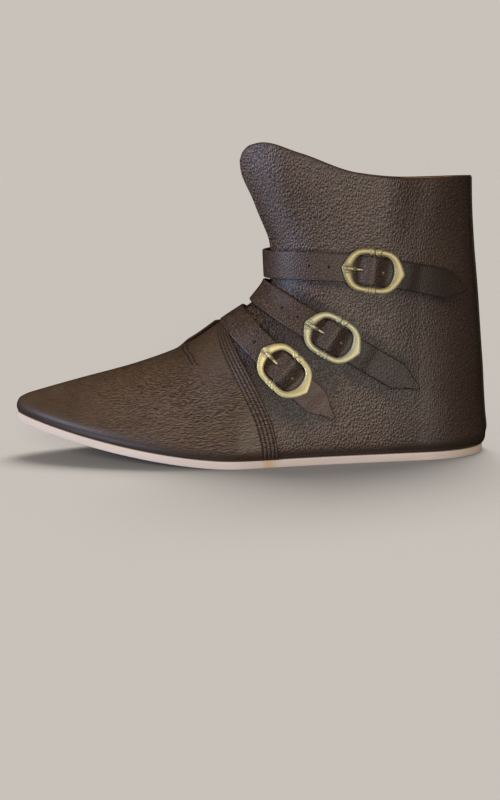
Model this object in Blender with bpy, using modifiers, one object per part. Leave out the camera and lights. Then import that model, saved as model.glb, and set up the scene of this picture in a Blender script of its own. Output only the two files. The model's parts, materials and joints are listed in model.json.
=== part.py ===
"""Medieval ankle boot for the left foot, closed by three buckled straps, at its real size.

The boot stands on the floor plane z = 0. The toe points to -X, the outer side of the foot faces -Y and the
inner side faces +Y. Sizes are in millimetres, and become metres when a mesh is made.
"""

import math
from collections import namedtuple

import bmesh
import bpy
import numpy as np
from mathutils import Matrix, Vector

MM = 0.001
GAP = 0.3
LAYER_GAP = 0.2
OUTER, INNER = -1, 1

# Leather and metal thicknesses
SOLE_THICKNESS = 4.7
INSOLE_THICKNESS = 2.5
WALL = 2.0
STRAP_THICKNESS = 1.8
CHAPE_THICKNESS = 0.8

# How far the bottom layers are drawn in from the upper's outline
SOLE_FRONT_INSET = 1.4
SOLE_BACK_INSET = 2.2
INSOLE_INSET = 7.0
INSOLE_CLEARANCE = 0.8

# The last: toe spring and the inward swing of the toe start at the ball of the foot
BALL_LINE = -15.0
TOE_TIP = -148.6
TOE_SPRING = 24.0
TOE_SPRING_POWER = 1.5
TOE_SWING = 8.0
TOE_SWING_POWER = 1.7
BALL_STATION = {OUTER: -8.0, INNER: -28.0}
WAIST_STATION = 45.0
HEEL_STATION = 102.0
ARCH_INSET = 5.0
ARCH_HEIGHT = 45.0
TIP_ROUND = 0.1

# The upper is turned in under the foot: the round of that turn, and the margin that lies on the sole
TURN_RADIUS = 4.5
TURN_INSET = 3.0
LASTING_MARGIN = 9.0
LASTING_POINT = 2.2
UPPER_BASE = SOLE_THICKNESS + GAP

# Horizontal sections of the upper, by height above its base. front and back are the ends of the section.
# taper and blunt shape its front end, which is pointed above 0.5. heel_round shapes its back end.
# The rest are half widths by station.
Level = namedtuple("Level", "height front back taper blunt heel_round ball waist heel")
LEVELS = (
    Level(0, -148.6, 147.4, 150, 0.72, 46, 49.0, 40.0, 33.0),
    Level(5, -147.2, 147.3, 148, 0.74, 46, 49.5, 40.8, 33.4),
    Level(8, -145.9, 147.2, 146, 0.79, 46, 49.2, 41.0, 33.5),
    Level(12, -141.5, 146.9, 141, 0.88, 46, 48.2, 41.0, 33.5),
    Level(18, -131.0, 146.2, 132, 0.95, 46, 46.8, 40.6, 33.5),
    Level(32, -103.5, 145.2, 118, 0.90, 48, 44.2, 39.6, 33.0),
    Level(48, -68.5, 144.3, 100, 0.76, 52, 42.0, 38.2, 32.0),
    Level(62, -40.8, 143.2, 84, 0.60, 56, 40.0, 36.8, 31.0),
    Level(77, -18.0, 142.1, 70, 0.48, 58, 38.0, 35.4, 30.5),
    Level(92, 3.6, 141.0, 60, 0.42, 60, 36.0, 34.3, 30.0),
    Level(106, 12.2, 139.8, 56, 0.38, 60, 35.0, 33.5, 30.0),
    Level(124, 11.6, 138.2, 56, 0.38, 60, 35.0, 33.0, 30.0),
    Level(150, 0.4, 136.7, 62, 0.42, 60, 36.0, 34.0, 31.5),
    Level(172, -9.6, 136.3, 65, 0.44, 59, 36.5, 34.8, 32.6),
    Level(190, -11.5, 136.2, 66, 0.46, 58, 37.0, 35.5, 33.5),
)

# Half of the opening between the two front edges, by height above the base. It starts as a slit in the vamp.
Opening = namedtuple("Opening", "height half_gap")
OPENINGS = (
    Opening(63.5, 0.0),
    Opening(66, 0.7),
    Opening(77, 2.6),
    Opening(92, 8.0),
    Opening(106, 10.5),
    Opening(126, 11.5),
    Opening(150, 14.0),
    Opening(190, 18.0),
)
SLIT_HEIGHT = OPENINGS[0].height

# The collar's top line in the side view, from the round front peak over the dip to the back seam
Collar = namedtuple("Collar", "x z")
COLLAR = (
    Collar(-4.5, 180.0),
    Collar(-2.0, 186.5),
    Collar(2.6, 190.4),
    Collar(10.0, 191.8),
    Collar(32.0, 185.2),
    Collar(66.0, 173.2),
    Collar(102.0, 169.4),
    Collar(140.0, 170.2),
)

# Straps from the top down. buckle_x and buckle_z place the buckle in the side view, slope is the strap's fall
# towards the heel there in degrees, sag bends its line downwards, and tip_x is where its point ends.
Strap = namedtuple("Strap", "name buckle_x buckle_z slope sag tip_x")
STRAPS = (
    Strap("top", 73.8, 115.5, 8.5, 0.00147, 131.5),
    Strap("middle", 49.1, 76.6, 31.5, 0.0003, 101.5),
    Strap("bottom", 20.9, 57.4, 45.0, 0.0, 50.0),
)
STRAP_WIDTH = 17.0
STRAP_POINT = 15.0
STRAP_POINT_WIDTH = 1.6
STRAP_ANCHOR = 62.0
STRAP_CLEARANCE = 0.6

# Buckle: a double loop of cast brass with a middle bar, a pin on the bar, and a folded leather chape
BUCKLE_LENGTH = 37.8
BUCKLE_HEIGHT = 26.0
BUCKLE_FULLNESS = 4.0
BUCKLE_ROUNDNESS = 1.0
WINDOW_LENGTH = 25.0
WINDOW_HEIGHT = 19.4
WINDOW_FULLNESS = 4.0
WINDOW_ROUNDNESS = 0.5
BUCKLE_THICKNESS = 2.2
BUCKLE_CROWN = 0.5
BUCKLE_LIFT = 1.9
BUCKLE_BOW = 1.1
BUCKLE_TILT = 0.044
BAR_RADIUS = 1.0
BAR_LEVEL = GAP + CHAPE_THICKNESS + LAYER_GAP + BAR_RADIUS
PIN_RADIUS = 0.9
PIN_EYE_RADIUS = 0.5
PIN_HOLE_RADIUS = 1.3
CHAPE_WIDTH = 15.0
CHAPE_TAIL = 20.0
CHAPE_RETURN = 5.5
CHAPE_SLOT_WIDTH = 2.6
BULGE_FRONT = 12.0
BULGE_BACK = 10.0

# Finishes
Finish = namedtuple("Finish", "name colour roughness metallic")
BROWN_LEATHER = Finish("brown_leather", (0.055, 0.035, 0.025), 0.45, 0.0)
PALE_LEATHER = Finish("pale_leather", (0.52, 0.40, 0.32), 0.7, 0.0)
BRASS = Finish("brass", (0.72, 0.60, 0.30), 0.3, 1.0)

# Mesh resolution
COLUMNS = 21
ROWS_BELOW = 15
ROWS_ABOVE = 8
LEVEL_LINE = 112.0


def hermite(knots, values, x):
    """Smooth curve through the knots that doesn't overshoot, with flat ends outside them."""
    x = min(max(x, knots[0]), knots[-1])
    i = min(int(np.searchsorted(knots, x, side="right")) - 1, len(knots) - 2)
    steps = np.diff(knots)
    rises = np.diff(values) / steps
    slopes = np.empty(len(knots))
    slopes[0], slopes[-1] = rises[0], rises[-1]
    for k in range(1, len(rises)):
        before, after = rises[k - 1], rises[k]
        slopes[k] = 0.0 if before * after <= 0 else 2 * before * after / (before + after)
    t = (x - knots[i]) / steps[i]
    t2, t3 = t * t, t * t * t
    return (
        (2 * t3 - 3 * t2 + 1) * values[i]
        + (t3 - 2 * t2 + t) * steps[i] * slopes[i]
        + (3 * t2 - 2 * t3) * values[i + 1]
        + (t3 - t2) * steps[i] * slopes[i + 1]
    )


def column(table, name):
    return np.array([getattr(row, name) for row in table], float)


LEVEL_COLUMNS = {name: column(LEVELS, name) for name in Level._fields}
OPENING_COLUMNS = {name: column(OPENINGS, name) for name in Opening._fields}
COLLAR_COLUMNS = {name: column(COLLAR, name) for name in Collar._fields}


def level(height):
    """The horizontal section at a height above the upper's base, as a Level."""
    heights = LEVEL_COLUMNS["height"]
    return Level(height, *(hermite(heights, LEVEL_COLUMNS[n], height) for n in Level._fields[1:]))


def half_gap(height):
    return hermite(OPENING_COLUMNS["height"], OPENING_COLUMNS["half_gap"], height)


def collar_line(x):
    return hermite(COLLAR_COLUMNS["x"], COLLAR_COLUMNS["z"], x)


def forefoot_share(x):
    """0 at the ball of the foot and behind it, 1 at the tip of the toe."""
    return max(0.0, (BALL_LINE - x) / (BALL_LINE - TOE_TIP))


def toe_spring(x):
    return TOE_SPRING * forefoot_share(x) ** TOE_SPRING_POWER


def toe_swing(x):
    return TOE_SWING * forefoot_share(x) ** TOE_SWING_POWER


def turn_inset(height):
    """How far the round at the bottom of the upper is drawn in."""
    t = min(max(height / TURN_RADIUS, 0.0), 1.0)
    return TURN_INSET * (1 - math.sqrt(1 - (1 - t) ** 2))


def section_point(section, phi, inset=0.0):
    """Plan point of a section. phi is 0 at its front end and pi at its back, and negative on the outer side."""
    side = OUTER if phi < 0 else INNER
    front, back = section.front + inset, section.back - inset
    x = front + (back - front) * (1 - math.cos(phi)) / 2
    arch = ARCH_INSET * max(0.0, 1 - section.height / ARCH_HEIGHT) if side == INNER else 0.0
    stations = np.array([BALL_STATION[side], WAIST_STATION, HEEL_STATION])
    widths = np.array([section.ball, section.waist - arch, section.heel]) - inset
    closing_front = min(max((x - front) / section.taper, 0.0), 1.0)
    closing_back = min(max((back - x) / section.heel_round, 0.0), 1.0)
    rise = 1 - (1 - closing_front) ** 2
    ends = math.sqrt(rise) * ((rise + TIP_ROUND) / (1 + TIP_ROUND)) ** (section.blunt - 0.5)
    ends *= math.sqrt(1 - (1 - closing_back) ** 2)
    return x, side * ends * hermite(stations, widths, x)


def surface(phi, height):
    """Point of the upper's outer surface."""
    x, y = section_point(level(height), phi, turn_inset(height))
    return np.array([x, toe_swing(x) + y, UPPER_BASE + height + toe_spring(x)])


def surface_frame(phi, height, step=2e-3):
    """Point, derivatives by phi and by height, and outward normal of the upper's outer surface."""
    by_phi = (surface(phi + step, height) - surface(phi - step, height)) / (2 * step)
    by_height = (surface(phi, height + 50 * step) - surface(phi, height - 50 * step)) / (100 * step)
    normal = np.cross(by_height, by_phi)
    return surface(phi, height), by_phi, by_height, normal / np.linalg.norm(normal)


def bisect(function, low, high, rounds=40):
    """Root of a function that rises from low to high."""
    for _ in range(rounds):
        middle = (low + high) / 2
        if function(middle) < 0:
            low = middle
        else:
            high = middle
    return (low + high) / 2


def front_edge(height):
    """phi of the upper's front edge, which is 0 below the slit."""
    gap = half_gap(height)
    if gap <= 0:
        return 0.0
    section = level(height)
    return bisect(lambda phi: section_point(section, phi)[1] - gap, 0.0, math.pi / 2)


def material(name, finish):
    """A part's own material, in one of the finishes."""
    made = bpy.data.materials.new(f"{name}_{finish.name}")
    made.use_nodes = True
    shader = made.node_tree.nodes["Principled BSDF"]
    shader.inputs["Base Color"].default_value = (*finish.colour, 1.0)
    shader.inputs["Roughness"].default_value = finish.roughness
    shader.inputs["Metallic"].default_value = finish.metallic
    return made


def grid_object(name, rows, finish, merge=False, closed=False):
    """Mesh object from rows of points. merge joins points that coincide, and closed fills the ends."""
    mesh = bpy.data.meshes.new(name)
    work = bmesh.new()
    made = [[work.verts.new(Vector(p) * MM) for p in row] for row in rows]
    for lower, upper in zip(made, made[1:]):
        for a, b, c, d in zip(lower, lower[1:], upper[1:], upper):
            work.faces.new((a, b, c, d))
    if merge:
        bmesh.ops.remove_doubles(work, verts=work.verts, dist=1e-6)
    if closed:
        bmesh.ops.holes_fill(work, edges=[e for e in work.edges if e.is_boundary], sides=0)
        bmesh.ops.recalc_face_normals(work, faces=work.faces)
    work.to_mesh(mesh)
    work.free()
    mesh.materials.append(material(name, finish))
    mesh.shade_smooth()
    obj = bpy.data.objects.new(name, mesh)
    parts.objects.link(obj)
    return obj


def solidify(obj, thickness, offset):
    shell = obj.modifiers.new("Thickness", "SOLIDIFY")
    shell.thickness = thickness * MM
    shell.offset = offset
    shell.use_even_offset = True
    return obj


def ring_shares():
    """Places round the upper: the outer front edge is -1, the back seam 0 and the inner front edge 1."""
    return np.linspace(-1, 1, 2 * COLUMNS + 1)


def ring_phi(share, edge):
    """phi at a place round the upper. The back seam is at pi on the outer and the inner side alike."""
    side = OUTER if share < 0 else INNER
    return side * (edge + (math.pi - edge) * (1 - abs(share)))


def collar_height(share):
    """Height above the base where the collar's top line crosses one column of the upper."""
    height = COLLAR[-1].z - UPPER_BASE
    for _ in range(25):
        x = surface(ring_phi(share, front_edge(height)), height)[0]
        height += 0.6 * (collar_line(x) - UPPER_BASE - height)
    return height


def lasting_row():
    """Inner edge of the margin that is turned in under the foot."""
    sole_level = level(0.0)
    inset = TURN_INSET + LASTING_MARGIN
    sole_level = sole_level._replace(front=sole_level.front + inset * (LASTING_POINT - 1))
    row = []
    for share in ring_shares():
        x, y = section_point(sole_level, ring_phi(share, 0.0), inset)
        row.append((x, toe_swing(x) + y, UPPER_BASE + toe_spring(x)))
    return row


def build_upper():
    """Vamp and quarters as one wall, open at the collar, along the front and under the foot."""
    turn_rows = [0.0, 0.08, 0.3, 0.65, 1.0]
    heights = [TURN_RADIUS * t for t in turn_rows]
    heights += list(np.linspace(TURN_RADIUS, LEVEL_LINE, ROWS_BELOW + 1)[1:])
    heights.append(SLIT_HEIGHT)
    heights.sort()
    rows = [lasting_row()]
    for height in heights:
        edge = front_edge(height)
        rows.append([surface(ring_phi(share, edge), height) for share in ring_shares()])
    tops = [collar_height(share) for share in ring_shares()]
    for t in np.linspace(0, 1, ROWS_ABOVE + 1)[1:]:
        row = []
        for share, top in zip(ring_shares(), tops):
            height = LEVEL_LINE + t * (top - LEVEL_LINE)
            row.append(surface(ring_phi(share, front_edge(height)), height))
        rows.append(row)
    return solidify(grid_object("upper", rows, BROWN_LEATHER, merge=True), WALL, -1.0)


def build_bottom_layer(name, section, top, thickness, finish, stations=30, across=6):
    """Leather layer under or in the foot, as a section's outline laid on the toe spring."""
    rows = []
    for phi in np.linspace(0, math.pi, stations + 1):
        x, outer = section_point(section, -phi - 1e-9)
        inner = section_point(section, phi)[1]
        z = top + toe_spring(x)
        widths = inner + (outer - inner) * np.linspace(0, 1, across + 1)
        rows.append([(x, toe_swing(x) + y, z) for y in widths])
    return solidify(grid_object(name, rows, finish, merge=True), thickness, -1.0)


def drawn_in(section, front, sides, back):
    """A section made smaller at its front, its sides and its back."""
    return section._replace(
        front=section.front + front,
        back=section.back - back,
        ball=section.ball - sides,
        waist=section.waist - sides,
        heel=section.heel - sides,
    )


class StrapLine:
    """The line of one strap on the upper. s runs from the front middle, positive on the outer side."""

    def __init__(self, strap, samples=121):
        self.strap = strap
        self.fall = math.tan(math.radians(strap.slope))
        phis = np.linspace(-math.pi * 0.93, math.pi * 0.93, samples)[::-1]
        self.phis = phis
        self.heights = np.array([self.height_at(phi) for phi in phis])
        points = np.array([surface(phi, h) for phi, h in zip(phis, self.heights)])
        runs = np.concatenate([[0.0], np.cumsum(np.linalg.norm(np.diff(points, axis=0), axis=1))])
        self.runs = runs - np.interp(0.0, phis[::-1], runs[::-1])
        outer = self.runs > 0
        self.buckle = float(np.interp(strap.buckle_x, points[outer, 0], self.runs[outer]))
        self.tip = float(np.interp(strap.tip_x, points[outer, 0], self.runs[outer]))

    def height_at(self, phi):
        """Height where the strap's line in the side view meets one column of the surface."""

        def above_line(height):
            x, _, z = surface(phi, height)
            along = x - self.strap.buckle_x
            return z - (self.strap.buckle_z - self.fall * along - self.strap.sag * along**2)

        return bisect(above_line, 0.0, LEVELS[-1].height)

    def frame(self, s):
        """Point on the surface, and the directions along the strap, across it upwards and outwards."""
        phi = float(np.interp(s, self.runs, self.phis))
        height = float(np.interp(s, self.runs, self.heights))
        point, _, _, normal = surface_frame(phi, height)
        ahead = [np.interp(s + d, self.runs, self.phis) for d in (-1, 1)]
        level_ahead = [np.interp(s + d, self.runs, self.heights) for d in (-1, 1)]
        along = surface(ahead[1], level_ahead[1]) - surface(ahead[0], level_ahead[0])
        along -= normal * (along @ normal)
        along /= np.linalg.norm(along)
        return phi, height, point, along, np.cross(normal, along), normal

    def point(self, s, across, out):
        """Point beside the line by across, laid on the surface and then raised by out."""
        phi, height, point, _, sideways, _ = self.frame(s)
        target = point + across * sideways
        for _ in range(4):
            here, by_phi, by_height, _ = surface_frame(phi, height)
            slopes = np.stack([by_phi, by_height], axis=1)
            move = np.linalg.lstsq(slopes, target - here, rcond=None)[0]
            phi, height = phi + move[0], height + move[1]
        here, _, _, normal = surface_frame(phi, height)
        return here + out * normal


def smooth(t):
    t = min(max(t, 0.0), 1.0)
    return t * t * (3 - 2 * t)


def strap_lift(along):
    """Height of a strap's underside over the upper. along is measured from the buckle's bar."""
    over_bar = BAR_LEVEL + BAR_RADIUS + CHAPE_THICKNESS + 2 * LAYER_GAP
    over_tail = GAP + CHAPE_THICKNESS + LAYER_GAP
    low, span = (STRAP_CLEARANCE, BULGE_FRONT) if along < 0 else (over_tail, BULGE_BACK)
    lift = low + (over_bar - low) * smooth(1 - abs(along) / span)
    if along > CHAPE_TAIL:
        lift = STRAP_CLEARANCE + (over_tail - STRAP_CLEARANCE) * smooth(1 - (along - CHAPE_TAIL - 1.5) / 8.0)
    return lift


def strap_half_width(from_tip):
    half = STRAP_WIDTH / 2
    if from_tip >= STRAP_POINT:
        return half
    return STRAP_POINT_WIDTH / 2 + (half - STRAP_POINT_WIDTH / 2) * from_tip / STRAP_POINT


def build_strap(line):
    """Strap from its sewn end on the inner side, over the opening and through the buckle, to its point."""
    near = line.buckle + np.linspace(-BULGE_FRONT, BULGE_BACK, 13)
    before = np.linspace(-STRAP_ANCHOR, near[0], 25)[:-1]
    after = np.linspace(near[-1], line.tip - STRAP_POINT, 7)[1:-1]
    point = np.linspace(line.tip - STRAP_POINT, line.tip, 5)
    runs = [s for s in (*before, *near, *after) if s < point[0] - 0.5] + list(point)
    rows = []
    for s in runs:
        half = strap_half_width(line.tip - s)
        lift = strap_lift(s - line.buckle)
        rows.append([line.point(s, half * t, lift) for t in np.linspace(1, -1, 5)])
    strap = grid_object(f"strap_{line.strap.name}", rows, BROWN_LEATHER)
    return solidify(strap, STRAP_THICKNESS, 1.0)


def oval_radius(angle, half_length, half_height, fullness, roundness):
    """Distance from the middle of an oval to its edge. High roundness draws the ends out to a point."""
    c, s = abs(math.cos(angle)), abs(math.sin(angle))

    def outside(r):
        x = r * c / half_length
        if x >= 1:
            return 1.0
        return r * s / half_height - (1 - x**fullness) ** roundness

    return bisect(outside, 0.0, half_length)


def rigid_frame(line):
    """Matrix of the buckle's own frame: X along the strap, Y across it, Z outwards from the upper."""
    _, _, point, along, sideways, normal = line.frame(line.buckle)
    return Matrix(
        [
            (along[i], sideways[i], normal[i], (point[i] + BAR_LEVEL * normal[i]) * MM)
            for i in range(3)
        ]
        + [(0, 0, 0, 1)]
    )


def frame_level(x):
    """Height of the frame's middle over the bar: it is bowed over the strap and tilted a little."""
    return BUCKLE_LIFT + BUCKLE_BOW * (2 * x / BUCKLE_LENGTH) ** 2 + BUCKLE_TILT * x


def tube_rows(route, radii, sides=6):
    """Rings of points round a route in the plane of the pin, closed at both ends."""
    route = np.array(route, float)
    rows = []
    for i, (centre, radius) in enumerate(zip(route, radii)):
        along = route[min(i + 1, len(route) - 1)] - route[max(i - 1, 0)]
        along /= np.linalg.norm(along)
        side = np.array([0.0, 1.0, 0.0])
        up = np.cross(along, side)
        turns = np.linspace(0, 2 * math.pi, sides + 1)
        rows.append([centre + radius * (math.cos(a) * side + math.sin(a) * up) for a in turns])
    return rows


def as_cutter(obj):
    obj.hide_render = True
    obj.display_type = "WIRE"
    parts.objects.unlink(obj)
    cutters.objects.link(obj)
    return obj


def combine(obj, other, operation):
    """Boolean of a piece with a helper, which goes to the cutters."""
    change = obj.modifiers.new(operation.title(), "BOOLEAN")
    change.operation = operation
    change.solver = "EXACT"
    change.object = as_cutter(other)


def build_buckle(line, place):
    """Cast frame: pointed ends, a rounded window and a bar across the middle."""
    steps = 32
    rows = []
    low, top = -BUCKLE_THICKNESS / 2, BUCKLE_THICKNESS / 2
    rim = 0.3 * BUCKLE_THICKNESS
    for angle in np.linspace(0, 2 * math.pi, steps + 1):
        outer = oval_radius(angle, BUCKLE_LENGTH / 2, BUCKLE_HEIGHT / 2, BUCKLE_FULLNESS, BUCKLE_ROUNDNESS)
        inner = oval_radius(angle, WINDOW_LENGTH / 2, WINDOW_HEIGHT / 2, WINDOW_FULLNESS, WINDOW_ROUNDNESS)
        width = outer - inner
        profile = (
            (inner + 0.12 * width, low),
            (outer - 0.12 * width, low),
            (outer, low + rim),
            (outer - 0.08 * width, top - rim),
            (inner + 0.5 * width, top + BUCKLE_CROWN),
            (inner + 0.08 * width, top - rim),
            (inner, low + rim),
            (inner + 0.12 * width, low),
        )
        row = []
        for radius, z in profile:
            x, y = radius * math.cos(angle), radius * math.sin(angle)
            row.append((x, y, z + frame_level(x)))
        rows.append(row)
    frame = grid_object(f"buckle_{line.strap.name}", rows, BRASS, merge=True, closed=True)
    frame.matrix_world = place
    ends = [(0, t * (WINDOW_HEIGHT / 2 + 1.4), 0) for t in (-1, 1)]
    turns = np.linspace(0, 2 * math.pi, 11)
    ring = [BAR_RADIUS * Vector((math.cos(a), 0, math.sin(a))) for a in turns]
    bar_rows = [[Vector(end) + offset for offset in ring] for end in ends]
    bar = grid_object(f"bar_{line.strap.name}", bar_rows, BRASS, merge=True, closed=True)
    bar.matrix_world = place
    combine(frame, bar, "UNION")
    return frame


def pin_route():
    """Middle line and radii of a pin: its eye round the bar, then out to the front end of the frame."""
    tip = -BUCKLE_LENGTH / 2 + 1.4
    rest = BUCKLE_THICKNESS / 2 + BUCKLE_CROWN + LAYER_GAP + PIN_RADIUS
    eye = BAR_RADIUS + LAYER_GAP + PIN_EYE_RADIUS
    turns = np.linspace(-0.8 * math.pi, 0.5 * math.pi, 10)
    route = [(eye * math.cos(a), 0.0, eye * math.sin(a)) for a in turns]
    radii = [PIN_EYE_RADIUS] * len(route)
    front_end = frame_level(-14.0) + rest
    route += [(-3.0, 0.0, eye + 0.2), (-6.0, 0.0, eye + 0.5), (-10.0, 0.0, front_end - 0.6)]
    route += [(-14.0, 0.0, front_end), (tip, 0.0, frame_level(tip) + rest - 0.35)]
    radii += [PIN_RADIUS, PIN_RADIUS, PIN_RADIUS, 0.95 * PIN_RADIUS, 0.5 * PIN_RADIUS]
    return route, radii


def build_pin(line, place, strap):
    """Pin from its eye on the bar to the front end of the frame, with the hole it needs in the strap."""
    route, radii = pin_route()
    pin = grid_object(f"pin_{line.strap.name}", tube_rows(route, radii), BRASS, merge=True, closed=True)
    pin.matrix_world = place
    hole_route = [(2.5, 0.0, route[9][2] - 0.2), *route[9:14]]
    hole = grid_object(
        f"hole_{line.strap.name}",
        tube_rows(hole_route, [PIN_HOLE_RADIUS] * len(hole_route)),
        BRASS,
        merge=True,
        closed=True,
    )
    hole.matrix_world = place
    combine(strap, hole, "DIFFERENCE")
    return pin


def build_chape(line, place):
    """Leather tab folded round the bar and sewn to the upper behind the buckle, slotted for the pin."""
    inner = BAR_RADIUS + LAYER_GAP
    outer = inner + CHAPE_THICKNESS
    fold = np.linspace(-0.5 * math.pi, -1.5 * math.pi, 7)
    tail = np.linspace(CHAPE_TAIL, 0, 6)[:-1]
    low = GAP + CHAPE_THICKNESS + LAYER_GAP
    back = [(CHAPE_RETURN * t, low * t + (BAR_LEVEL + inner) * (1 - t)) for t in (0.5, 1)]
    profile = [(along, GAP) for along in tail]
    profile += [(outer * math.cos(a), BAR_LEVEL + outer * math.sin(a)) for a in fold]
    profile += [(along, out + CHAPE_THICKNESS) for along, out in back]
    profile += back[::-1]
    profile += [(inner * math.cos(a), BAR_LEVEL + inner * math.sin(a)) for a in fold[::-1]]
    profile += [(along, GAP + CHAPE_THICKNESS) for along in tail[::-1]]
    rows = []
    for across in np.linspace(-CHAPE_WIDTH / 2, CHAPE_WIDTH / 2, 5):
        loop = (*profile, profile[0])
        rows.append([line.point(line.buckle + along, across, out) for along, out in loop])
    chape = grid_object(f"chape_{line.strap.name}", rows, BROWN_LEATHER, merge=True, closed=True)
    front, back_end = -outer - 1.5, outer + 0.8
    corners = [(front, -1), (back_end, -1), (back_end, 1), (front, 1), (front, -1)]
    levels = (-outer - 1.5, outer + 1.5)
    slot_rows = [[(x, y * CHAPE_SLOT_WIDTH / 2, z) for x, y in corners] for z in levels]
    slot = grid_object(f"slot_{line.strap.name}", slot_rows, BRASS, merge=True, closed=True)
    slot.matrix_world = place
    combine(chape, slot, "DIFFERENCE")
    return chape


for old in list(bpy.data.objects):
    bpy.data.objects.remove(old)
parts = bpy.data.collections.new("ankle_boot")
cutters = bpy.data.collections.new("cutters")
bpy.context.scene.collection.children.link(parts)
bpy.context.scene.collection.children.link(cutters)

build_upper()
foot = level(0.0)
build_bottom_layer(
    "outsole",
    drawn_in(foot, SOLE_FRONT_INSET, 0.0, SOLE_BACK_INSET),
    SOLE_THICKNESS,
    SOLE_THICKNESS,
    PALE_LEATHER,
)
build_bottom_layer(
    "insole",
    drawn_in(foot, INSOLE_INSET, INSOLE_INSET, INSOLE_INSET),
    UPPER_BASE + WALL + INSOLE_CLEARANCE + INSOLE_THICKNESS,
    INSOLE_THICKNESS,
    PALE_LEATHER,
)
for strap in STRAPS:
    line = StrapLine(strap)
    place = rigid_frame(line)
    leather = build_strap(line)
    build_buckle(line, place)
    build_pin(line, place, leather)
    build_chape(line, place)
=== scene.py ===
"""Looks of the medieval ankle boot, laid out as an add-on and run as a script.

The boot's surface is worked out from the same sections as the solids.
The toe points to -X, the outer side faces -Y and the floor is at z = 0.
Sizes in the tables are in millimetres and become metres when a mesh is made.
"""

import json
import math
from collections import namedtuple

import bpy
import numpy as np
from mathutils import Matrix, Vector

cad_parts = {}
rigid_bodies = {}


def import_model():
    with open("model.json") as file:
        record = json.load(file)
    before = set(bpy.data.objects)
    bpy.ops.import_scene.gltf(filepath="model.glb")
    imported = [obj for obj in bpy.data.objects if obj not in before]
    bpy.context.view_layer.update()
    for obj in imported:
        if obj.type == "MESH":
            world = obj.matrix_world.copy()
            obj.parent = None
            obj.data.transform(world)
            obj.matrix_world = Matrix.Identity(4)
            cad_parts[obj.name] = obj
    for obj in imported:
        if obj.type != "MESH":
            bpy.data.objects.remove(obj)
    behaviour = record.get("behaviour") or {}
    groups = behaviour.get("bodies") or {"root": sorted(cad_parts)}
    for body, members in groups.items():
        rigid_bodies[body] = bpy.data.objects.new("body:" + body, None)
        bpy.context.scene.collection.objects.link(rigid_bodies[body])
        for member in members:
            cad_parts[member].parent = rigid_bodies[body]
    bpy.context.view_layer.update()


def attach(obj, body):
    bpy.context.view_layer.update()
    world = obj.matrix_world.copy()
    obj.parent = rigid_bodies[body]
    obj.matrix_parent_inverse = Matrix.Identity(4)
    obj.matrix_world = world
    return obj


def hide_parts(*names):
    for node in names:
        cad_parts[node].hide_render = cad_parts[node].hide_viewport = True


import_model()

bl_info = {
    "name": "Medieval ankle boot",
    "version": (1, 0, 0),
    "blender": (4, 5, 0),
    "location": "View3D > Sidebar > Boot",
    "description": "Builds a strapped leather ankle boot with its stage",
    "category": "Add Mesh",
}

MM = 0.001
BODY = "root"
OUTER, INNER = -1, 1

# Halvings in each search for a place on a surface
SEARCH_STEPS = 40

# Room between a piece and the one under it, and between the layers at a buckle's bar
GAP = 0.3
LAYER_GAP = 0.2

# The last, as in the solids
SOLE_THICKNESS = 4.7
UPPER_BASE = SOLE_THICKNESS + GAP
BALL_LINE = -15.0
TOE_TIP = -148.6
TOE_SPRING = 24.0
TOE_SPRING_POWER = 1.5
TOE_SWING = 8.0
TOE_SWING_POWER = 1.7
BALL_STATION = {OUTER: -8.0, INNER: -28.0}
WAIST_STATION = 45.0
HEEL_STATION = 102.0
ARCH_INSET = 5.0
ARCH_HEIGHT = 45.0
TIP_ROUND = 0.1

# The round at the bottom of the upper, and the margin under the foot
TURN_RADIUS = 5.5
TURN_INSET = 2.6
LASTING_MARGIN = 9.0
LASTING_POINT = 2.2

# Sole and insole, with their insets at the toe, the sides and the heel
SOLE_INSETS = (1.4, 0.0, 2.2)
SOLE_EDGE_ROUND = 0.5
INSOLE_INSETS = (7.0, 7.0, 7.0)
INSOLE_EDGE_ROUND = 0.4
INSOLE_THICKNESS = 2.5
INSOLE_CLEARANCE = 0.8

# Horizontal sections of the upper, by height above its base
Level = namedtuple("Level", "height front back taper blunt heel_round ball waist heel")
LEVELS = (
    Level(0, -148.6, 147.4, 150, 0.72, 46, 49.0, 40.0, 33.0),
    Level(5, -147.2, 147.3, 148, 0.74, 46, 49.5, 40.8, 33.4),
    Level(8, -145.9, 147.2, 146, 0.79, 46, 49.2, 41.0, 33.5),
    Level(12, -141.5, 146.9, 141, 0.88, 46, 48.2, 41.0, 33.5),
    Level(18, -131.0, 146.2, 132, 0.95, 46, 46.8, 40.6, 33.5),
    Level(32, -103.5, 145.2, 118, 0.90, 48, 44.2, 39.6, 33.0),
    Level(48, -68.5, 144.3, 100, 0.76, 52, 42.0, 38.2, 32.0),
    Level(62, -40.8, 143.2, 84, 0.60, 56, 40.0, 36.8, 31.0),
    Level(77, -18.0, 142.1, 70, 0.48, 58, 38.0, 35.4, 30.5),
    Level(92, 3.6, 141.0, 60, 0.42, 60, 36.0, 34.3, 30.0),
    Level(106, 12.2, 139.8, 56, 0.38, 60, 35.0, 33.5, 30.0),
    Level(124, 11.6, 138.2, 56, 0.38, 60, 35.0, 33.0, 30.0),
    Level(150, 0.4, 136.7, 62, 0.42, 60, 36.0, 34.0, 31.5),
    Level(172, -9.6, 136.3, 65, 0.44, 59, 36.5, 34.8, 32.6),
    Level(190, -11.5, 136.2, 66, 0.46, 58, 37.0, 35.5, 33.5),
)

# Half of the opening between the front edges, by height above the base
Opening = namedtuple("Opening", "height half_gap")
OPENINGS = (
    Opening(63.5, 0.0),
    Opening(66, 0.7),
    Opening(77, 2.6),
    Opening(92, 8.0),
    Opening(106, 10.5),
    Opening(126, 11.5),
    Opening(150, 14.0),
    Opening(190, 18.0),
)
SLIT_HEIGHT = OPENINGS[0].height
SLIT_END = 76.5

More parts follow.
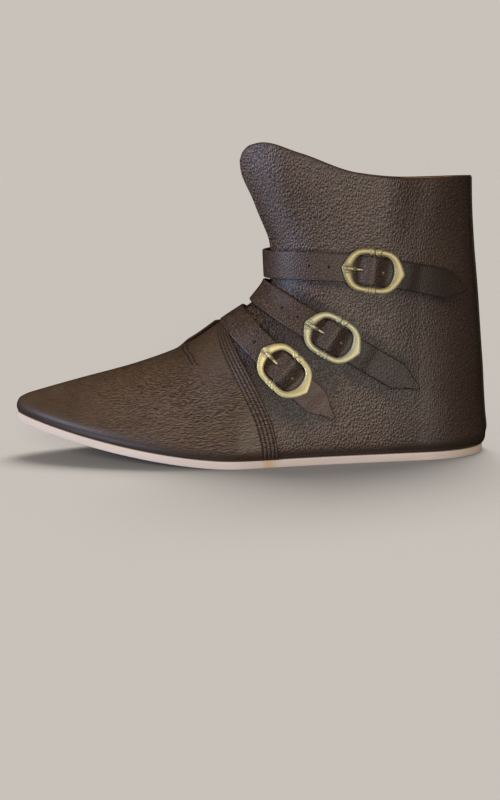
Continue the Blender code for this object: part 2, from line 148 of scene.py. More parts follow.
# The collar's top line in the side view
Collar = namedtuple("Collar", "x z")
COLLAR = (
    Collar(-4.5, 180.0),
    Collar(-2.0, 186.5),
    Collar(2.6, 190.4),
    Collar(10.0, 191.8),
    Collar(32.0, 185.2),
    Collar(66.0, 173.2),
    Collar(102.0, 169.4),
    Collar(140.0, 170.2),
)

# The vamp's back edge in the side view, where it lies over the quarters
Seam = namedtuple("Seam", "height x")
SEAM = (
    Seam(0, 16.6),
    Seam(7, 16.0),
    Seam(20, 13.3),
    Seam(33, 8.3),
    Seam(49, 0.5),
    Seam(60, -5.4),
    Seam(72, -11.2),
    Seam(84, -16.0),
)
VAMP_TOP = 81.0
SEAM_UNDERLAP = 12.0
SEAM_GROOVES = (1.9, 4.3, 6.7, 9.1)

# Straps from the top down. holes are places along the strap, counted from the buckle's bar.
Strap = namedtuple("Strap", "name buckle_x buckle_z slope sag tip_x holes")
STRAPS = (
    Strap("top", 73.8, 115.5, 8.5, 0.00147, 131.5, (-37.0, -25.5, 6.0)),
    Strap("middle", 49.1, 76.6, 31.5, 0.0, 101.5, (-34.0, -23.0, 6.0)),
    Strap("bottom", 20.9, 57.4, 45.0, 0.0, 50.0, (-25.0, 6.0)),
)

# Painted shade on each strap's tail, where it turns away from the light, or a paler tail where the value is
# negative
TAIL_SHADES = {"top": 0.8, "middle": 0.9, "bottom": -0.6}

# Cross section, point, sewn end and holes of a strap
STRAP_WIDTH = 17.0
STRAP_THICKNESS = 1.8
STRAP_CROWN = 0.18
STRAP_CREASE = 0.16
STRAP_CREASE_INSET = 1.7
STRAP_POINT = 15.0
STRAP_POINT_WIDTH = 1.6
STRAP_ANCHOR = 62.0
STRAP_CLEARANCE = 0.6
STRAP_EDGE_ROUND = 0.7
HOLE_RADIUS = 0.7

# Buckles, pins and chapes
BUCKLE_LENGTH = 37.8
BUCKLE_HEIGHT = 26.0
BUCKLE_FULLNESS = 4.0
BUCKLE_ROUNDNESS = 1.0
WINDOW_LENGTH = 25.0
WINDOW_HEIGHT = 19.4
WINDOW_FULLNESS = 4.0
WINDOW_ROUNDNESS = 0.5
BUCKLE_THICKNESS = 2.2
BUCKLE_CROWN = 0.5
BUCKLE_LIFT = 1.9
BUCKLE_BOW = 1.1
BUCKLE_TILT = 0.044
CHAPE_THICKNESS = 0.8
BAR_RADIUS = 1.0
BAR_LEVEL = GAP + CHAPE_THICKNESS + LAYER_GAP + BAR_RADIUS
PIN_RADIUS = 0.9
PIN_EYE_RADIUS = 0.5
PIN_EYE_POINTS = 10
PIN_HOLE_RADIUS = 1.25
CHAPE_WIDTH = 15.0
CHAPE_TAIL = 20.0
CHAPE_RETURN = 5.5
BULGE_FRONT = 12.0
BULGE_BACK = 10.0

# Length of a stitch, and the gap to the next one
Stitches = namedtuple("Stitches", "length gap")
SEAM_STITCHES = Stitches(2.0, 0.8)
SLIT_STITCHES = Stitches(2.4, 0.3)
STRAP_STITCHES = Stitches(2.4, 1.0)

# Stretches over which the upper's grain, painted shade and painted highlight change: along the boot, above
# the upper's base and above the floor
HEEL_GRAIN = (85.0, 128.0)
TOE_GRAIN = (-145.0, -75.0)
# Painted shade where the upper turns away from the light, towards the back and at the heel
BACK_SHADE = (76.0, 96.0)
HEEL_SHADE = (108.0, 144.0)
TOE_RIPPLES = (-125.0, -10.0)
# Towards the sole the grain fades and painted shade darkens the leather; higher up a painted highlight fades
# out
SOLE_LINE = (1.0, 9.0)
LOW_PAINTED_LIGHT = (10.0, 60.0)
INSTEP_RIPPLES = (40.0, 66.0)

# Stains of the sole: the middle and reach of a spot, and the stretch at the heel
SPOT_MIDDLE = 11.0
SPOT_REACH = 5.0
HEEL_STAIN = (118.0, 146.0)

# Tints of the vamp's leather and of brass that isn't rubbed
OLIVE = (1.02, 0.99, 0.80)
TARNISH = (0.74, 0.70, 0.58)

# The camera stands where the photo's did: focal length in pixels of an 800 pixel high picture
CAMERA_PLACE = (0.0, -0.850, 0.183)
CAMERA_DOWN = 9.97
CAMERA_ROLL = 1.1
CAMERA_FOCAL_PIXELS = 1378
PICTURE_HEIGHT = 800
SENSOR = 36.0

# Where the lights point, in metres
LIGHTS_AIM = (0.0, 0.0, 0.08)


class Curve:
    """Smooth curve through knots that doesn't overshoot and stays flat outside them."""

    def __init__(self, knots, values):
        self.knots = np.array(knots, float)
        self.values = np.array(values, float)
        self.steps = np.diff(self.knots)
        rises = np.diff(self.values) / self.steps
        before, after = rises[:-1], rises[1:]
        same = before * after > 0
        inner = np.where(same, 2 * before * after / np.where(same, before + after, 1.0), 0.0)
        self.slopes = np.concatenate([rises[:1], inner, rises[-1:]])

    def __call__(self, x):
        x = np.clip(x, self.knots[0], self.knots[-1])
        i = np.clip(np.searchsorted(self.knots, x, side="right") - 1, 0, len(self.knots) - 2)
        step = self.steps[i]
        t = (x - self.knots[i]) / step
        return hermite(t, step, self.values[i], self.values[i + 1], self.slopes[i], self.slopes[i + 1])


def hermite(t, step, start, end, slope_start, slope_end):
    t2, t3 = t * t, t * t * t
    return (
        (2 * t3 - 3 * t2 + 1) * start
        + (t3 - 2 * t2 + t) * step * slope_start
        + (3 * t2 - 2 * t3) * end
        + (t3 - t2) * step * slope_end
    )


def column(table, name):
    return [getattr(row, name) for row in table]


LEVEL_CURVES = {n: Curve(column(LEVELS, "height"), column(LEVELS, n)) for n in Level._fields[1:]}
HALF_GAP = Curve(column(OPENINGS, "height"), column(OPENINGS, "half_gap"))
COLLAR_LINE = Curve(column(COLLAR, "x"), column(COLLAR, "z"))
SEAM_LINE = Curve(column(SEAM, "height"), column(SEAM, "x"))


def level(height):
    """The horizontal sections at heights above the upper's base."""
    height = np.asarray(height, float)
    return Level(height, *(LEVEL_CURVES[n](height) for n in Level._fields[1:]))


def smooth(t):
    t = np.clip(t, 0.0, 1.0)
    return t * t * (3 - 2 * t)


def bump(x, width):
    """Soft hump of height 1 at x = 0 that ends at the given half width."""
    return smooth(1 - np.abs(x) / width)


def bell(x, width):
    """Bell curve of height 1 at x = 0."""
    return np.exp(-((x / width) ** 2))


def forefoot_share(x):
    return np.maximum(0.0, (BALL_LINE - x) / (BALL_LINE - TOE_TIP))


def toe_spring(x):
    return TOE_SPRING * forefoot_share(x) ** TOE_SPRING_POWER


def toe_swing(x):
    return TOE_SWING * forefoot_share(x) ** TOE_SWING_POWER


def turn_inset(height):
    t = np.clip(height / TURN_RADIUS, 0.0, 1.0)
    return TURN_INSET * (1 - np.sqrt(1 - (1 - t) ** 2))


def station_width(x, outer, ball, waist, heel):
    """Half width between the ball, waist and heel stations, smooth and without overshoot."""
    ball_x = np.where(outer, BALL_STATION[OUTER], BALL_STATION[INNER])
    x = np.clip(x, ball_x, HEEL_STATION)
    first, second = WAIST_STATION - ball_x, HEEL_STATION - WAIST_STATION
    rise_first, rise_second = (waist - ball) / first, (heel - waist) / second
    same = rise_first * rise_second > 0
    total = np.where(same, rise_first + rise_second, 1.0)
    middle = np.where(same, 2 * rise_first * rise_second / total, 0.0)
    before = hermite((x - ball_x) / first, first, ball, waist, rise_first, middle)
    after = hermite((x - WAIST_STATION) / second, second, waist, heel, middle, rise_second)
    return np.where(x < WAIST_STATION, before, after)


def section_point(section, phi, inset=0.0):
    """Plan points of sections. phi is 0 at the front end and pi at the back, negative on the outer side."""
    outer = phi < 0
    front, back = section.front + inset, section.back - inset
    x = front + (back - front) * (1 - np.cos(phi)) / 2
    arch = np.where(outer, 0.0, ARCH_INSET * np.maximum(0.0, 1 - section.height / ARCH_HEIGHT))
    widths = (section.ball - inset, section.waist - arch - inset, section.heel - inset)
    closing_front = np.clip((x - front) / section.taper, 0.0, 1.0)
    closing_back = np.clip((back - x) / section.heel_round, 0.0, 1.0)
    rise = 1 - (1 - closing_front) ** 2
    ends = np.sqrt(rise) * ((rise + TIP_ROUND) / (1 + TIP_ROUND)) ** (section.blunt - 0.5)
    ends = ends * np.sqrt(1 - (1 - closing_back) ** 2)
    return x, np.where(outer, -1.0, 1.0) * ends * station_width(x, outer, *widths)


def surface(phi, height):
    """Points of the upper's outer surface in millimetres."""
    x, y = section_point(level(height), phi, turn_inset(height))
    return np.stack([x, toe_swing(x) + y, UPPER_BASE + height + toe_spring(x)], axis=-1)


def unit(vectors):
    return vectors / np.maximum(np.linalg.norm(vectors, axis=-1, keepdims=True), 1e-12)


def run_lengths(points):
    """Length along a line of points, from its start to each point."""
    return np.concatenate([[0.0], np.cumsum(np.linalg.norm(np.diff(points, axis=0), axis=1))])


def turning_point(low, high, holds):
    """Where a test that holds at low stops holding on the way to high, found by halving."""
    for _ in range(SEARCH_STEPS):
        middle = (low + high) / 2
        held = holds(middle)
        low, high = np.where(held, middle, low), np.where(held, high, middle)
    return (low + high) / 2


def surface_frame(phi, height, step=2e-3):
    """Points, derivatives by phi and by height, and outward normals of the upper's outer surface."""
    by_phi = (surface(phi + step, height) - surface(phi - step, height)) / (2 * step)
    by_height = (surface(phi, height + 50 * step) - surface(phi, height - 50 * step)) / (100 * step)
    return surface(phi, height), by_phi, by_height, unit(np.cross(by_height, by_phi))


def phi_at_x(x, section):
    """phi where a section reaches x, on the inner side."""
    share = np.clip((x - section.front) / (section.back - section.front), 0.0, 1.0)
    return np.arccos(1 - 2 * share)


def front_edge(height):
    """phi of the upper's front edge, which is 0 below the slit."""
    height = np.asarray(height, float)
    gap = HALF_GAP(height)
    section = level(height)

    def in_opening(phi):
        return section_point(section, phi)[1] < gap

    edge = turning_point(np.zeros_like(gap), np.full_like(gap, math.pi / 2), in_opening)
    return np.where(gap > 0, edge, 0.0)


class StrapLine:
    """The line of one strap on the upper: s runs from 0 at the front middle, positive on the outer side."""

    SAMPLES = 481
    REACH = 0.93 * math.pi

    def __init__(self, strap):
        self.strap = strap
        self.phis = np.linspace(self.REACH, -self.REACH, self.SAMPLES)
        fall = math.tan(math.radians(strap.slope))

        def below_line(heights):
            x, _, z = np.moveaxis(surface(self.phis, heights), -1, 0)
            along = x - strap.buckle_x
            return z < strap.buckle_z - fall * along - strap.sag * along**2

        top = np.full(self.SAMPLES, float(LEVELS[-1].height))
        self.heights = turning_point(np.zeros(self.SAMPLES), top, below_line)
        points = surface(self.phis, self.heights)
        runs = run_lengths(points)
        self.runs = runs - np.interp(0.0, self.phis[::-1], runs[::-1])
        outer = self.runs > 0
        self.buckle = float(np.interp(strap.buckle_x, points[outer, 0], self.runs[outer]))
        self.tip = float(np.interp(strap.tip_x, points[outer, 0], self.runs[outer]))

    def place(self, s):
        return np.interp(s, self.runs, self.phis), np.interp(s, self.runs, self.heights)

    def frame(self, s):
        """Place, point, and the directions along the strap, across it upwards and outwards."""
        phi, height = self.place(s)
        point, _, _, normal = surface_frame(phi, height)
        along = surface(*self.place(s + 1)) - surface(*self.place(s - 1))
        along = unit(along - normal * np.sum(along * normal, axis=-1, keepdims=True))
        return phi, height, point, along, np.cross(normal, along), normal

    def point(self, s, across, out):
        """Points beside the line by across, laid on the surface and then raised by out."""
        s, across, out = np.broadcast_arrays(np.asarray(s, float), across, out)
        phi, height, point, _, sideways, _ = self.frame(s)
        target = point + across[..., None] * sideways
        for _ in range(4):
            here, by_phi, by_height, _ = surface_frame(phi, height)
            miss = target - here
            pp, hh = np.sum(by_phi * by_phi, -1), np.sum(by_height * by_height, -1)
            ph = np.sum(by_phi * by_height, -1)
            mp, mh = np.sum(by_phi * miss, -1), np.sum(by_height * miss, -1)
            det = pp * hh - ph * ph
            phi = phi + (hh * mp - ph * mh) / det
            height = height + (pp * mh - ph * mp) / det
        here, _, _, normal = surface_frame(phi, height)
        return here + out[..., None] * normal

    def matrix(self):
        """The buckle's own frame: X along the strap, Y across it, Z outwards, at the bar's middle."""
        _, _, point, along, sideways, normal = self.frame(np.array(self.buckle))
        place = (point + BAR_LEVEL * normal) * MM
        return Matrix([(along[i], sideways[i], normal[i], place[i]) for i in range(3)] + [(0, 0, 0, 1)])


LINES = [StrapLine(strap) for strap in STRAPS]


class Shade:
    """A shader socket that takes part in Python expressions: each operation adds its node."""

    def __init__(self, tree, socket):
        self.tree = tree
        self.socket = socket

    @staticmethod
    def put(tree, target, value):
        if isinstance(value, Shade):
            tree.links.new(value.socket, target)
        else:
            target.default_value = value

    def node(self, kind, settings=None, out=0, **inputs):
        """Any node by its type: settings first, then sockets by name, or by place as in_0, in_1."""
        made = self.tree.nodes.new(kind)
        for name, value in (settings or {}).items():
            setattr(made, name, value)
        for name, value in inputs.items():
            key = int(name[3:]) if name.startswith("in_") else name.replace("_", " ")
            self.put(self.tree, made.inputs[key], value)
        return Shade(self.tree, made.outputs[out])

    def math(self, operation, *values, clamp=False):
        settings = {"operation": operation, "use_clamp": clamp}
        return self.node("ShaderNodeMath", settings, **{f"in_{i}": v for i, v in enumerate(values)})

    def __add__(self, other):
        return self.math("ADD", self, other)

    def __sub__(self, other):
        return self.math("SUBTRACT", self, other)

    def __mul__(self, other):
        return self.math("MULTIPLY", self, other)

    def __truediv__(self, other):
        return self.math("DIVIDE", self, other)

    def __pow__(self, other):
        return self.math("POWER", self, other)

    def __radd__(self, other):
        return self.math("ADD", other, self)

    def __rsub__(self, other):
        return self.math("SUBTRACT", other, self)

    def __rmul__(self, other):
        return self.math("MULTIPLY", other, self)

    def __rtruediv__(self, other):
        return self.math("DIVIDE", other, self)

    def clamped(self):
        return self.math("ADD", self, 0.0, clamp=True)

    def at_least(self, other):
        return self.math("MAXIMUM", self, other)

    def ease(self, low, high, at_low=0.0, at_high=1.0):
        """Smooth step from at_low at the value low to at_high at the value high."""
        settings = {"interpolation_type": "SMOOTHSTEP"}
        ends = {"in_1": low, "in_2": high, "in_3": at_low, "in_4": at_high}
        return self.node("ShaderNodeMapRange", settings, in_0=self, **ends)

    def blend(self, first, second):
        """Colour from first to second by this factor."""
        return self.node("ShaderNodeMix", {"data_type": "RGBA"}, out=2, in_0=self, in_6=first, in_7=second)

    def scaled(self, x, y, z):
        return self.node("ShaderNodeVectorMath", {"operation": "MULTIPLY"}, in_0=self, in_1=(x, y, z))

    def shifted(self, other):
        return self.node("ShaderNodeVectorMath", {"operation": "ADD"}, in_0=self, in_1=other)

    def axis(self, index):
        return self.node("ShaderNodeSeparateXYZ", out=index, in_0=self)

    def noise(self, scale, detail, roughness=0.5, out=0):
        values = {"Scale": scale, "Detail": detail, "Roughness": roughness}
        return self.node("ShaderNodeTexNoise", out=out, Vector=self, **values)

    def cells(self, scale, feature):
        return self.node("ShaderNodeTexVoronoi", {"feature": feature}, Vector=self, Scale=scale)

    def attribute(self, name):
        return self.node("ShaderNodeAttribute", {"attribute_name": name}, "Fac")


class Finish:
    """A material with one Principled shader, and its object coordinates in millimetres as a vector."""

    def __init__(self, name):
        self.material = bpy.data.materials.new(name)
        self.material.use_nodes = True
        self.tree = self.material.node_tree
        self.shader = self.tree.nodes["Principled BSDF"]
        start = Shade(self.tree, None)
        self.place = start.node("ShaderNodeTexCoord", out=3).scaled(1000.0, 1000.0, 1000.0)

    def set(self, **values):
        """Values or shades for sockets of the shader, by name."""
        for name, value in values.items():
            Shade.put(self.tree, self.shader.inputs[name.replace("_", " ")], value)

    def relief(self, height, depth):
        """Height as bump, where 1 is a depth in millimetres."""
        bumped = height.node("ShaderNodeBump", Strength=1.0, Distance=depth * MM, Height=height)
        self.set(Normal=bumped)


def toned(colour, factor):
    return tuple(part * factor for part in colour)


def tinted(colour, tint):
    return tuple(part * factor for part, factor in zip(colour, tint))


def rgba(colour, factor=1.0):
    return (*toned(colour, factor), 1.0)


def pebbles(place, size):
    """Grain of the quarters and straps: 0 in the cracks, 1 on top of the pebbles."""
    return place.scaled(1.0, 1.0, 0.75).cells(1 / size, "DISTANCE_TO_EDGE").ease(0.0, 0.34)


def ripples(place, size):
    """Grain of the vamp, drawn out along the foot: low in the creases, and faint at the toe and on top."""
    fade = place.axis(2).ease(*INSTEP_RIPPLES, 1.0, 0.25) * place.axis(0).ease(*TOE_RIPPLES, 0.25, 1.0)
    return place.scaled(0.30, 0.5, 1.0).noise(1.6 / size, 1.0, 0.5) * fade * 2.0


def grained_leather(name, dark, light, edge, pattern, size, depth, contrast, shine):
    """Grained leather, with painted light and shade on its grain as strong as contrast, a painted highlight
    low on the upper, painted shade by the sole, towards the back and where marked, and its own edge tone.
    """
    made = Finish(name)
    place = made.place
    x, z = place.axis(0), place.axis(2)
    forefoot = ((BALL_LINE - x) / (BALL_LINE - TOE_TIP)).at_least(0.0)
    height = z - forefoot**TOE_SPRING_POWER * TOE_SPRING - UPPER_BASE
    worn = x.ease(*HEEL_GRAIN, 1.0, 0.6) * height.ease(*SOLE_LINE, 0.35, 1.0) * x.ease(*TOE_GRAIN, 0.3, 1.0)
    wander = place.shifted(place.noise(0.12, 2.0, out=1).scaled(3.0, 3.0, 3.0))
    grain = pattern(wander, size)
    # Painted light and shade on the grain: each pebble is lighter on one side and darker on the other, as if
    # lit from above and from the toe's end.
    lit = (pattern(wander.shifted((0.2 * size, 0.0, -0.3 * size)), size) - grain) * worn * contrast
    made.relief(grain * worn, depth)
    patches = place.noise(0.03, 3.0, 0.55)
    # Random patches of tone, and a painted highlight low on the upper.
    tone = patches * 1.1 + place.noise(1.6, 2.0, 0.6) * 0.3 - 0.25 + height.ease(*LOW_PAINTED_LIGHT, 0.2, 0.0)
    base = tone.clamped().blend(rgba(dark), rgba(light))
    # Painted highlight on the lit sides of the pebbles, painted shade on the others.
    base = lit.clamped().blend(base, rgba(light, 1.8))
    base = (0.0 - lit).clamped().blend(base, rgba(dark, 0.2))
    # Painted shade where the upper turns away from the light towards the back and the heel, and by the sole
    # where it turns under.
    behind = x.ease(*BACK_SHADE, 0.0, 0.5) + x.ease(*HEEL_SHADE, 0.0, 0.25)
    shadowed = (height.ease(*SOLE_LINE, 0.75, 0.0) + behind).clamped()
    base = shadowed.blend(base, rgba(dark, 0.95))
    # Painted shade where the piece is marked: in the seam grooves, beside the slit, under and below the
    # straps, on strap tails and inside the buckles.
    base = (place.attribute("furrow") * 0.6).blend(base, rgba(dark, 0.3))
    base = place.attribute("edge").blend(base, rgba(edge))
    made.set(Base_Color=base, Roughness=(0.40 + patches * 0.10).clamped())
    made.set(Specular_IOR_Level=shine)
    return made.material


def plain_leather(name, dark, light, roughness):
    """Leather's flesh side or cut edge: fine tufts and a little unevenness."""
    made = Finish(name)
    tuft_width, tuft_height = 0.6, 0.15
    tufts = 1.0 - made.place.cells(1 / tuft_width, "SMOOTH_F1")
    fine = made.place.noise(0.9, 3.0, 0.6)
    patches = made.place.noise(0.05, 3.0, 0.6)
    made.relief(tufts * 0.6 + fine * 0.4, tuft_height)
    tone = (patches * 1.3 - 0.2 + fine * 0.2).clamped()
    made.set(Base_Color=tone.blend(rgba(dark), rgba(light)))
    made.set(Roughness=(patches * 0.25 + (roughness - 0.12)).clamped())
    return made.material


def raw_leather(name, pale, brown, stain):
    """Undyed sole leather with pressed fibres along its edge and small stains."""
    made = Finish(name)
    x = made.place.axis(0)
    fibres = made.place.scaled(0.12, 0.12, 1.6).noise(1.0, 4.0, 0.6)
    patches = made.place.noise(0.04, 4.0, 0.6)
    made.relief(fibres * 0.7 + made.place.noise(0.6, 2.0, 0.5) * 0.3, 0.15)
    tone = (fibres * 0.5 + patches * 0.7 - 0.25).clamped()
    spot = (x - SPOT_MIDDLE) / SPOT_REACH
    mark = (1.0 - spot * spot).clamped() * patches.ease(0.25, 0.5)
    heel = x.ease(*HEEL_STAIN, 0.0, 0.55) * (0.5 + patches)
    base = (mark * 0.8 + heel * 0.5).clamped().blend(tone.blend(rgba(pale), rgba(brown)), rgba(stain))
    made.set(Base_Color=base, Roughness=(0.62 + patches * 0.25).clamped())
    return made.material


def cast_brass(name, bright, dull):
    """Pale cast brass: satin, a little uneven, darker where it is not rubbed."""
    made = Finish(name)
    cloud = made.place.noise(0.25, 1.0, 0.5)
    rubbed = made.place.node("ShaderNodeNewGeometry", out="Pointiness").ease(0.46, 0.56)
    tone = (cloud * 0.8 + rubbed * 0.6 - 0.2).clamped()
    made.set(Base_Color=tone.blend(rgba(dull), rgba(bright)), Metallic=0.8)
    made.set(Roughness=(0.45 - rubbed * 0.08 + cloud * 0.1).clamped())
    made.relief(cloud, 0.07)
    return made.material


def waxed_thread(name, colour):
    made = Finish(name)
    twist = made.place.noise(3.0, 2.0, 0.5)
    made.set(Base_Color=twist.blend(rgba(colour, 0.6), rgba(colour, 1.4)), Roughness=0.6)
    return made.material


def mesh_object(name, points, faces, *materials, **marks):
    """Smooth mesh object from points in millimetres. marks are point values for the finishes, by name."""
    mesh = bpy.data.meshes.new(name)
    mesh.from_pydata((np.asarray(points) * MM).tolist(), [], faces)
    for mark, values in marks.items():
        attribute = mesh.attributes.new(mark, "FLOAT", "POINT")
        attribute.data.foreach_set("value", np.asarray(values, np.float32).ravel())
    for finish in materials:
        mesh.materials.append(finish)
    mesh.shade_smooth()
    obj = bpy.data.objects.new(name, mesh)
    bpy.context.scene.collection.objects.link(obj)
    return obj


def grid_faces(rows, columns, round_rows=False, start=0):
    """Quads of a grid of points stored row by row. round_rows joins each row's end to its start."""
    r, c = np.meshgrid(np.arange(rows - 1), np.arange(columns if round_rows else columns - 1), indexing="ij")
    ahead = (c + 1) % columns
    quads = [r * columns + c, r * columns + ahead, (r + 1) * columns + ahead, (r + 1) * columns + c]
    return (np.stack(quads, axis=-1).reshape(-1, 4) + start).tolist()


def turned(faces):
    return [face[::-1] for face in faces]


def loft(rows):
    """Points and faces of a closed solid from rings of points, with flat ends."""
    count, sides = rows.shape[:2]
    faces = grid_faces(count, sides, round_rows=True)
    faces.append(list(range(sides))[::-1])
    faces.append(list(range((count - 1) * sides, count * sides)))
    return rows.reshape(-1, 3), faces


def welded(obj, distance=1e-6):
    """Joins points that coincide."""
    weld = obj.modifiers.new("Weld", "WELD")
    weld.merge_threshold = distance
    return obj


def shell(obj, thickness):
    """Gives a sheet its thickness inwards, with the second finish on the cut edge and the third inside."""
    solid = obj.modifiers.new("Thickness", "SOLIDIFY")
    solid.thickness = thickness * MM
    solid.offset = -1.0
    solid.material_offset_rim = 1
    solid.material_offset = 2


def cut_with(obj, cutters):
    """Cuts closed shapes from a closed piece, keeps the result as its mesh and drops the cutters."""
    for cutter in cutters:
        change = obj.modifiers.new("Cut", "BOOLEAN")
        change.operation = "DIFFERENCE"
        change.solver = "EXACT"
        change.material_mode = "TRANSFER"
        change.object = cutter
    graph = bpy.context.evaluated_depsgraph_get()
    mesh = bpy.data.meshes.new_from_object(obj.evaluated_get(graph), depsgraph=graph)
    obj.modifiers.clear()
    obj.data = mesh
    for cutter in cutters:
        bpy.data.objects.remove(cutter)


def tube(route, radii, side=(0.0, 1.0, 0.0), sides=10):
    """Points and faces of a closed tube along a route in millimetres."""
    route = np.asarray(route, float)
    radii = np.broadcast_to(np.asarray(radii, float), len(route))
    along = unit(np.gradient(route, axis=0))
    across = unit(side - along * np.sum(along * side, axis=-1, keepdims=True))
    up = np.cross(along, across)
    turns = np.linspace(0, 2 * math.pi, sides, endpoint=False)
    ring = np.cos(turns)[None, :, None] * across[:, None] + np.sin(turns)[None, :, None] * up[:, None]
    return loft(route[:, None] + radii[:, None, None] * ring)


def join_parts(parts):
    """One list of points and faces from several."""
    points, faces, start = [], [], 0
    for part_points, part_faces in parts:
        points.append(part_points)
        faces += [[i + start for i in face] for face in part_faces]
        start += len(part_points)
    return np.concatenate(points), faces


def stitch(start, end, outward, radius):
    """Points and faces of one stitch: a short thread that dips at both ends."""
    t = np.linspace(0, 1, 7)
    dip = -1.6 * radius * (2 * np.abs(t - 0.5)) ** 3
    route = start + (end - start) * t[:, None] + outward * dip[:, None]
    return tube(route, radius * (1 - 0.45 * np.abs(2 * t - 1) ** 3), side=outward, sides=6)


def stitch_row(points, normals, stitches, radius):
    """Stitches along a line of points on the surface."""
    length = stitches.length
    runs = run_lengths(points)
    count = max(1, int(runs[-1] / (length + stitches.gap)))

    def at(run, line):
        return np.array([np.interp(run, runs, line[:, i]) for i in range(3)])

    parts = []
    for k in range(count):
        run = (k + 0.5) * runs[-1] / count - length / 2
        parts.append(stitch(at(run, points), at(run + length, points), unit(at(run, normals)), radius))
    return parts


def finish_piece(obj, slot, *nodes):
    """Rides the piece on the boot and hides the nodes that it stands for. slot is not used."""
    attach(obj, BODY)
    if nodes:
        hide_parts(*nodes)


def length_property(name, description, millimetres):
    return bpy.props.FloatProperty(
        name=name, description=description, default=millimetres * MM, min=0.0, precision=4,
        unit="LENGTH", subtype="DISTANCE",
    )


def colour_property(name, description, default):
    return bpy.props.FloatVectorProperty(
        name=name, description=description, default=default, size=3, min=0.0, max=1.0, subtype="COLOR"
    )


class BootSizes(bpy.types.PropertyGroup):
    """Sizes of the boot's leather and thread."""

    wall: length_property("Wall", "Thickness of the quarters' leather", 2.0)
    vamp: length_property("Vamp", "Thickness of the vamp's leather", 1.2)
    seam_step: length_property("Seam step", "How far the vamp's edge stands proud of the quarters", 1.3)
    groove: length_property("Seam groove", "Depth of the sewn grooves beside the vamp's edge", 0.55)
    back_seam: length_property("Back seam", "How far the back seam stands out", 1.2)
    slit_lip: length_property("Slit lip", "How far the inner lip of the slit stands up", 2.3)
    thread: length_property("Thread", "Thickness of the sewing thread", 0.6)
    grain: length_property("Grain", "Width of one pebble of the leather's grain", 1.7)


class BootColours(bpy.types.PropertyGroup):
    """Colours of the boot and of its stage, in scene linear values."""

    leather_dark: colour_property("Leather, dark", "Darker tone of the upper", (0.0244, 0.0140, 0.0092))
    leather_light: colour_property("Leather, light", "Lighter tone of the upper", (0.0626, 0.0391, 0.0268))
    edge: colour_property("Cut edge", "Cut edges of the leather", (0.032, 0.018, 0.0105))
    sole: colour_property("Sole", "Pale sole leather", (0.43, 0.36, 0.313))
    sole_brown: colour_property("Sole, brown", "Browner parts of the sole leather", (0.38, 0.305, 0.252))
    stain: colour_property("Stain", "Stains on the sole's edge", (0.40, 0.25, 0.12))
    insole: colour_property("Insole", "Insole leather", (0.36, 0.26, 0.18))
    flesh: colour_property("Flesh side", "Undyed leather inside the boot and in holes", (0.30, 0.17, 0.075))
    brass_top: colour_property("Brass, top", "Rubbed brass of the top buckle", (0.50, 0.435, 0.25))
    brass_middle: colour_property("Brass, middle", "Rubbed brass of the middle buckle", (0.56, 0.53, 0.36))
    brass_bottom: colour_property("Brass, bottom", "Rubbed brass of the bottom buckle", (0.76, 0.67, 0.38))
    thread: colour_property("Thread", "Sewing thread", (0.010, 0.006, 0.0045))
    floor: colour_property("Floor", "Floor", (0.20, 0.20, 0.20))
    room: colour_property("Room", "Light from all sides, and the background", (0.584, 0.539, 0.491))
    window: colour_property("Window", "Cool light from the left", (0.52, 0.66, 1.0))
    lamp: colour_property("Lamp", "Warm light from the front", (1.0, 0.93, 0.84))
    skylight: colour_property("Skylight", "Light on the floor from above", (1.0, 0.923, 0.841))


def millimetres(name):
    """One of the boot's sizes, in millimetres."""
    return getattr(bpy.context.scene.boot_sizes, name) / MM


def colours():
    return bpy.context.scene.boot_colours


def finish(name):
    """The boot's materials by name, made when first asked for."""
    title = f"finish_{name}"
    if title in bpy.data.materials:
        return bpy.data.materials[title]
    c = colours()
    cell = millimetres("grain")
    tones = (c.leather_dark, c.leather_light, c.edge)
    if name == "shaft_leather":
        return grained_leather(title, *tones, pebbles, cell, depth=0.10, contrast=1.5, shine=0.48)
    if name == "vamp_leather":
        olive = [tinted(tone, OLIVE) for tone in tones]
        return grained_leather(title, *olive, ripples, 0.8 * cell, depth=0.08, contrast=2.3, shine=0.42)
    if name == "strap_leather":
        worn = (toned(c.leather_dark, 0.92), toned(c.leather_light, 0.92), toned(c.leather_light, 1.3))
        return grained_leather(title, *worn, pebbles, 0.85 * cell, depth=0.06, contrast=0.8, shine=0.42)
    if name == "cut_edge":
        return plain_leather(title, toned(c.edge, 0.6), c.edge, roughness=0.7)
    if name == "flesh_side":
        return plain_leather(title, toned(c.flesh, 0.7), c.flesh, roughness=0.8)
    if name == "sole_leather":
        return raw_leather(title, c.sole, c.sole_brown, c.stain)
    if name == "insole_leather":
        return raw_leather(title, c.insole, toned(c.insole, 0.7), c.stain)
    if name == "waxed_thread":
        return waxed_thread(title, c.thread)
    brass = getattr(c, name)
    return cast_brass(title, brass, tinted(brass, TARNISH))


def seam_phi(height):
    """phi of the vamp's back edge, on the inner side."""
    return phi_at_x(SEAM_LINE(height), level(height))


def lasting_points(phi):
    """Inner edge of the margin turned in under the foot."""
    inset = TURN_INSET + LASTING_MARGIN
    sole_level = level(np.zeros_like(phi))
    sole_level = sole_level._replace(front=sole_level.front + inset * (LASTING_POINT - 1))
    x, y = section_point(sole_level, phi, inset)
    return np.stack([x, toe_swing(x) + y, UPPER_BASE + toe_spring(x)], axis=-1)


def upper_heights(top, step):
    """Heights of the rows of a leather panel: close together in the round at the bottom."""
    turn = TURN_RADIUS * (1 - np.cos(np.linspace(0, math.pi / 2, 8)))
    return np.concatenate([turn, np.arange(TURN_RADIUS + step, top, step)])


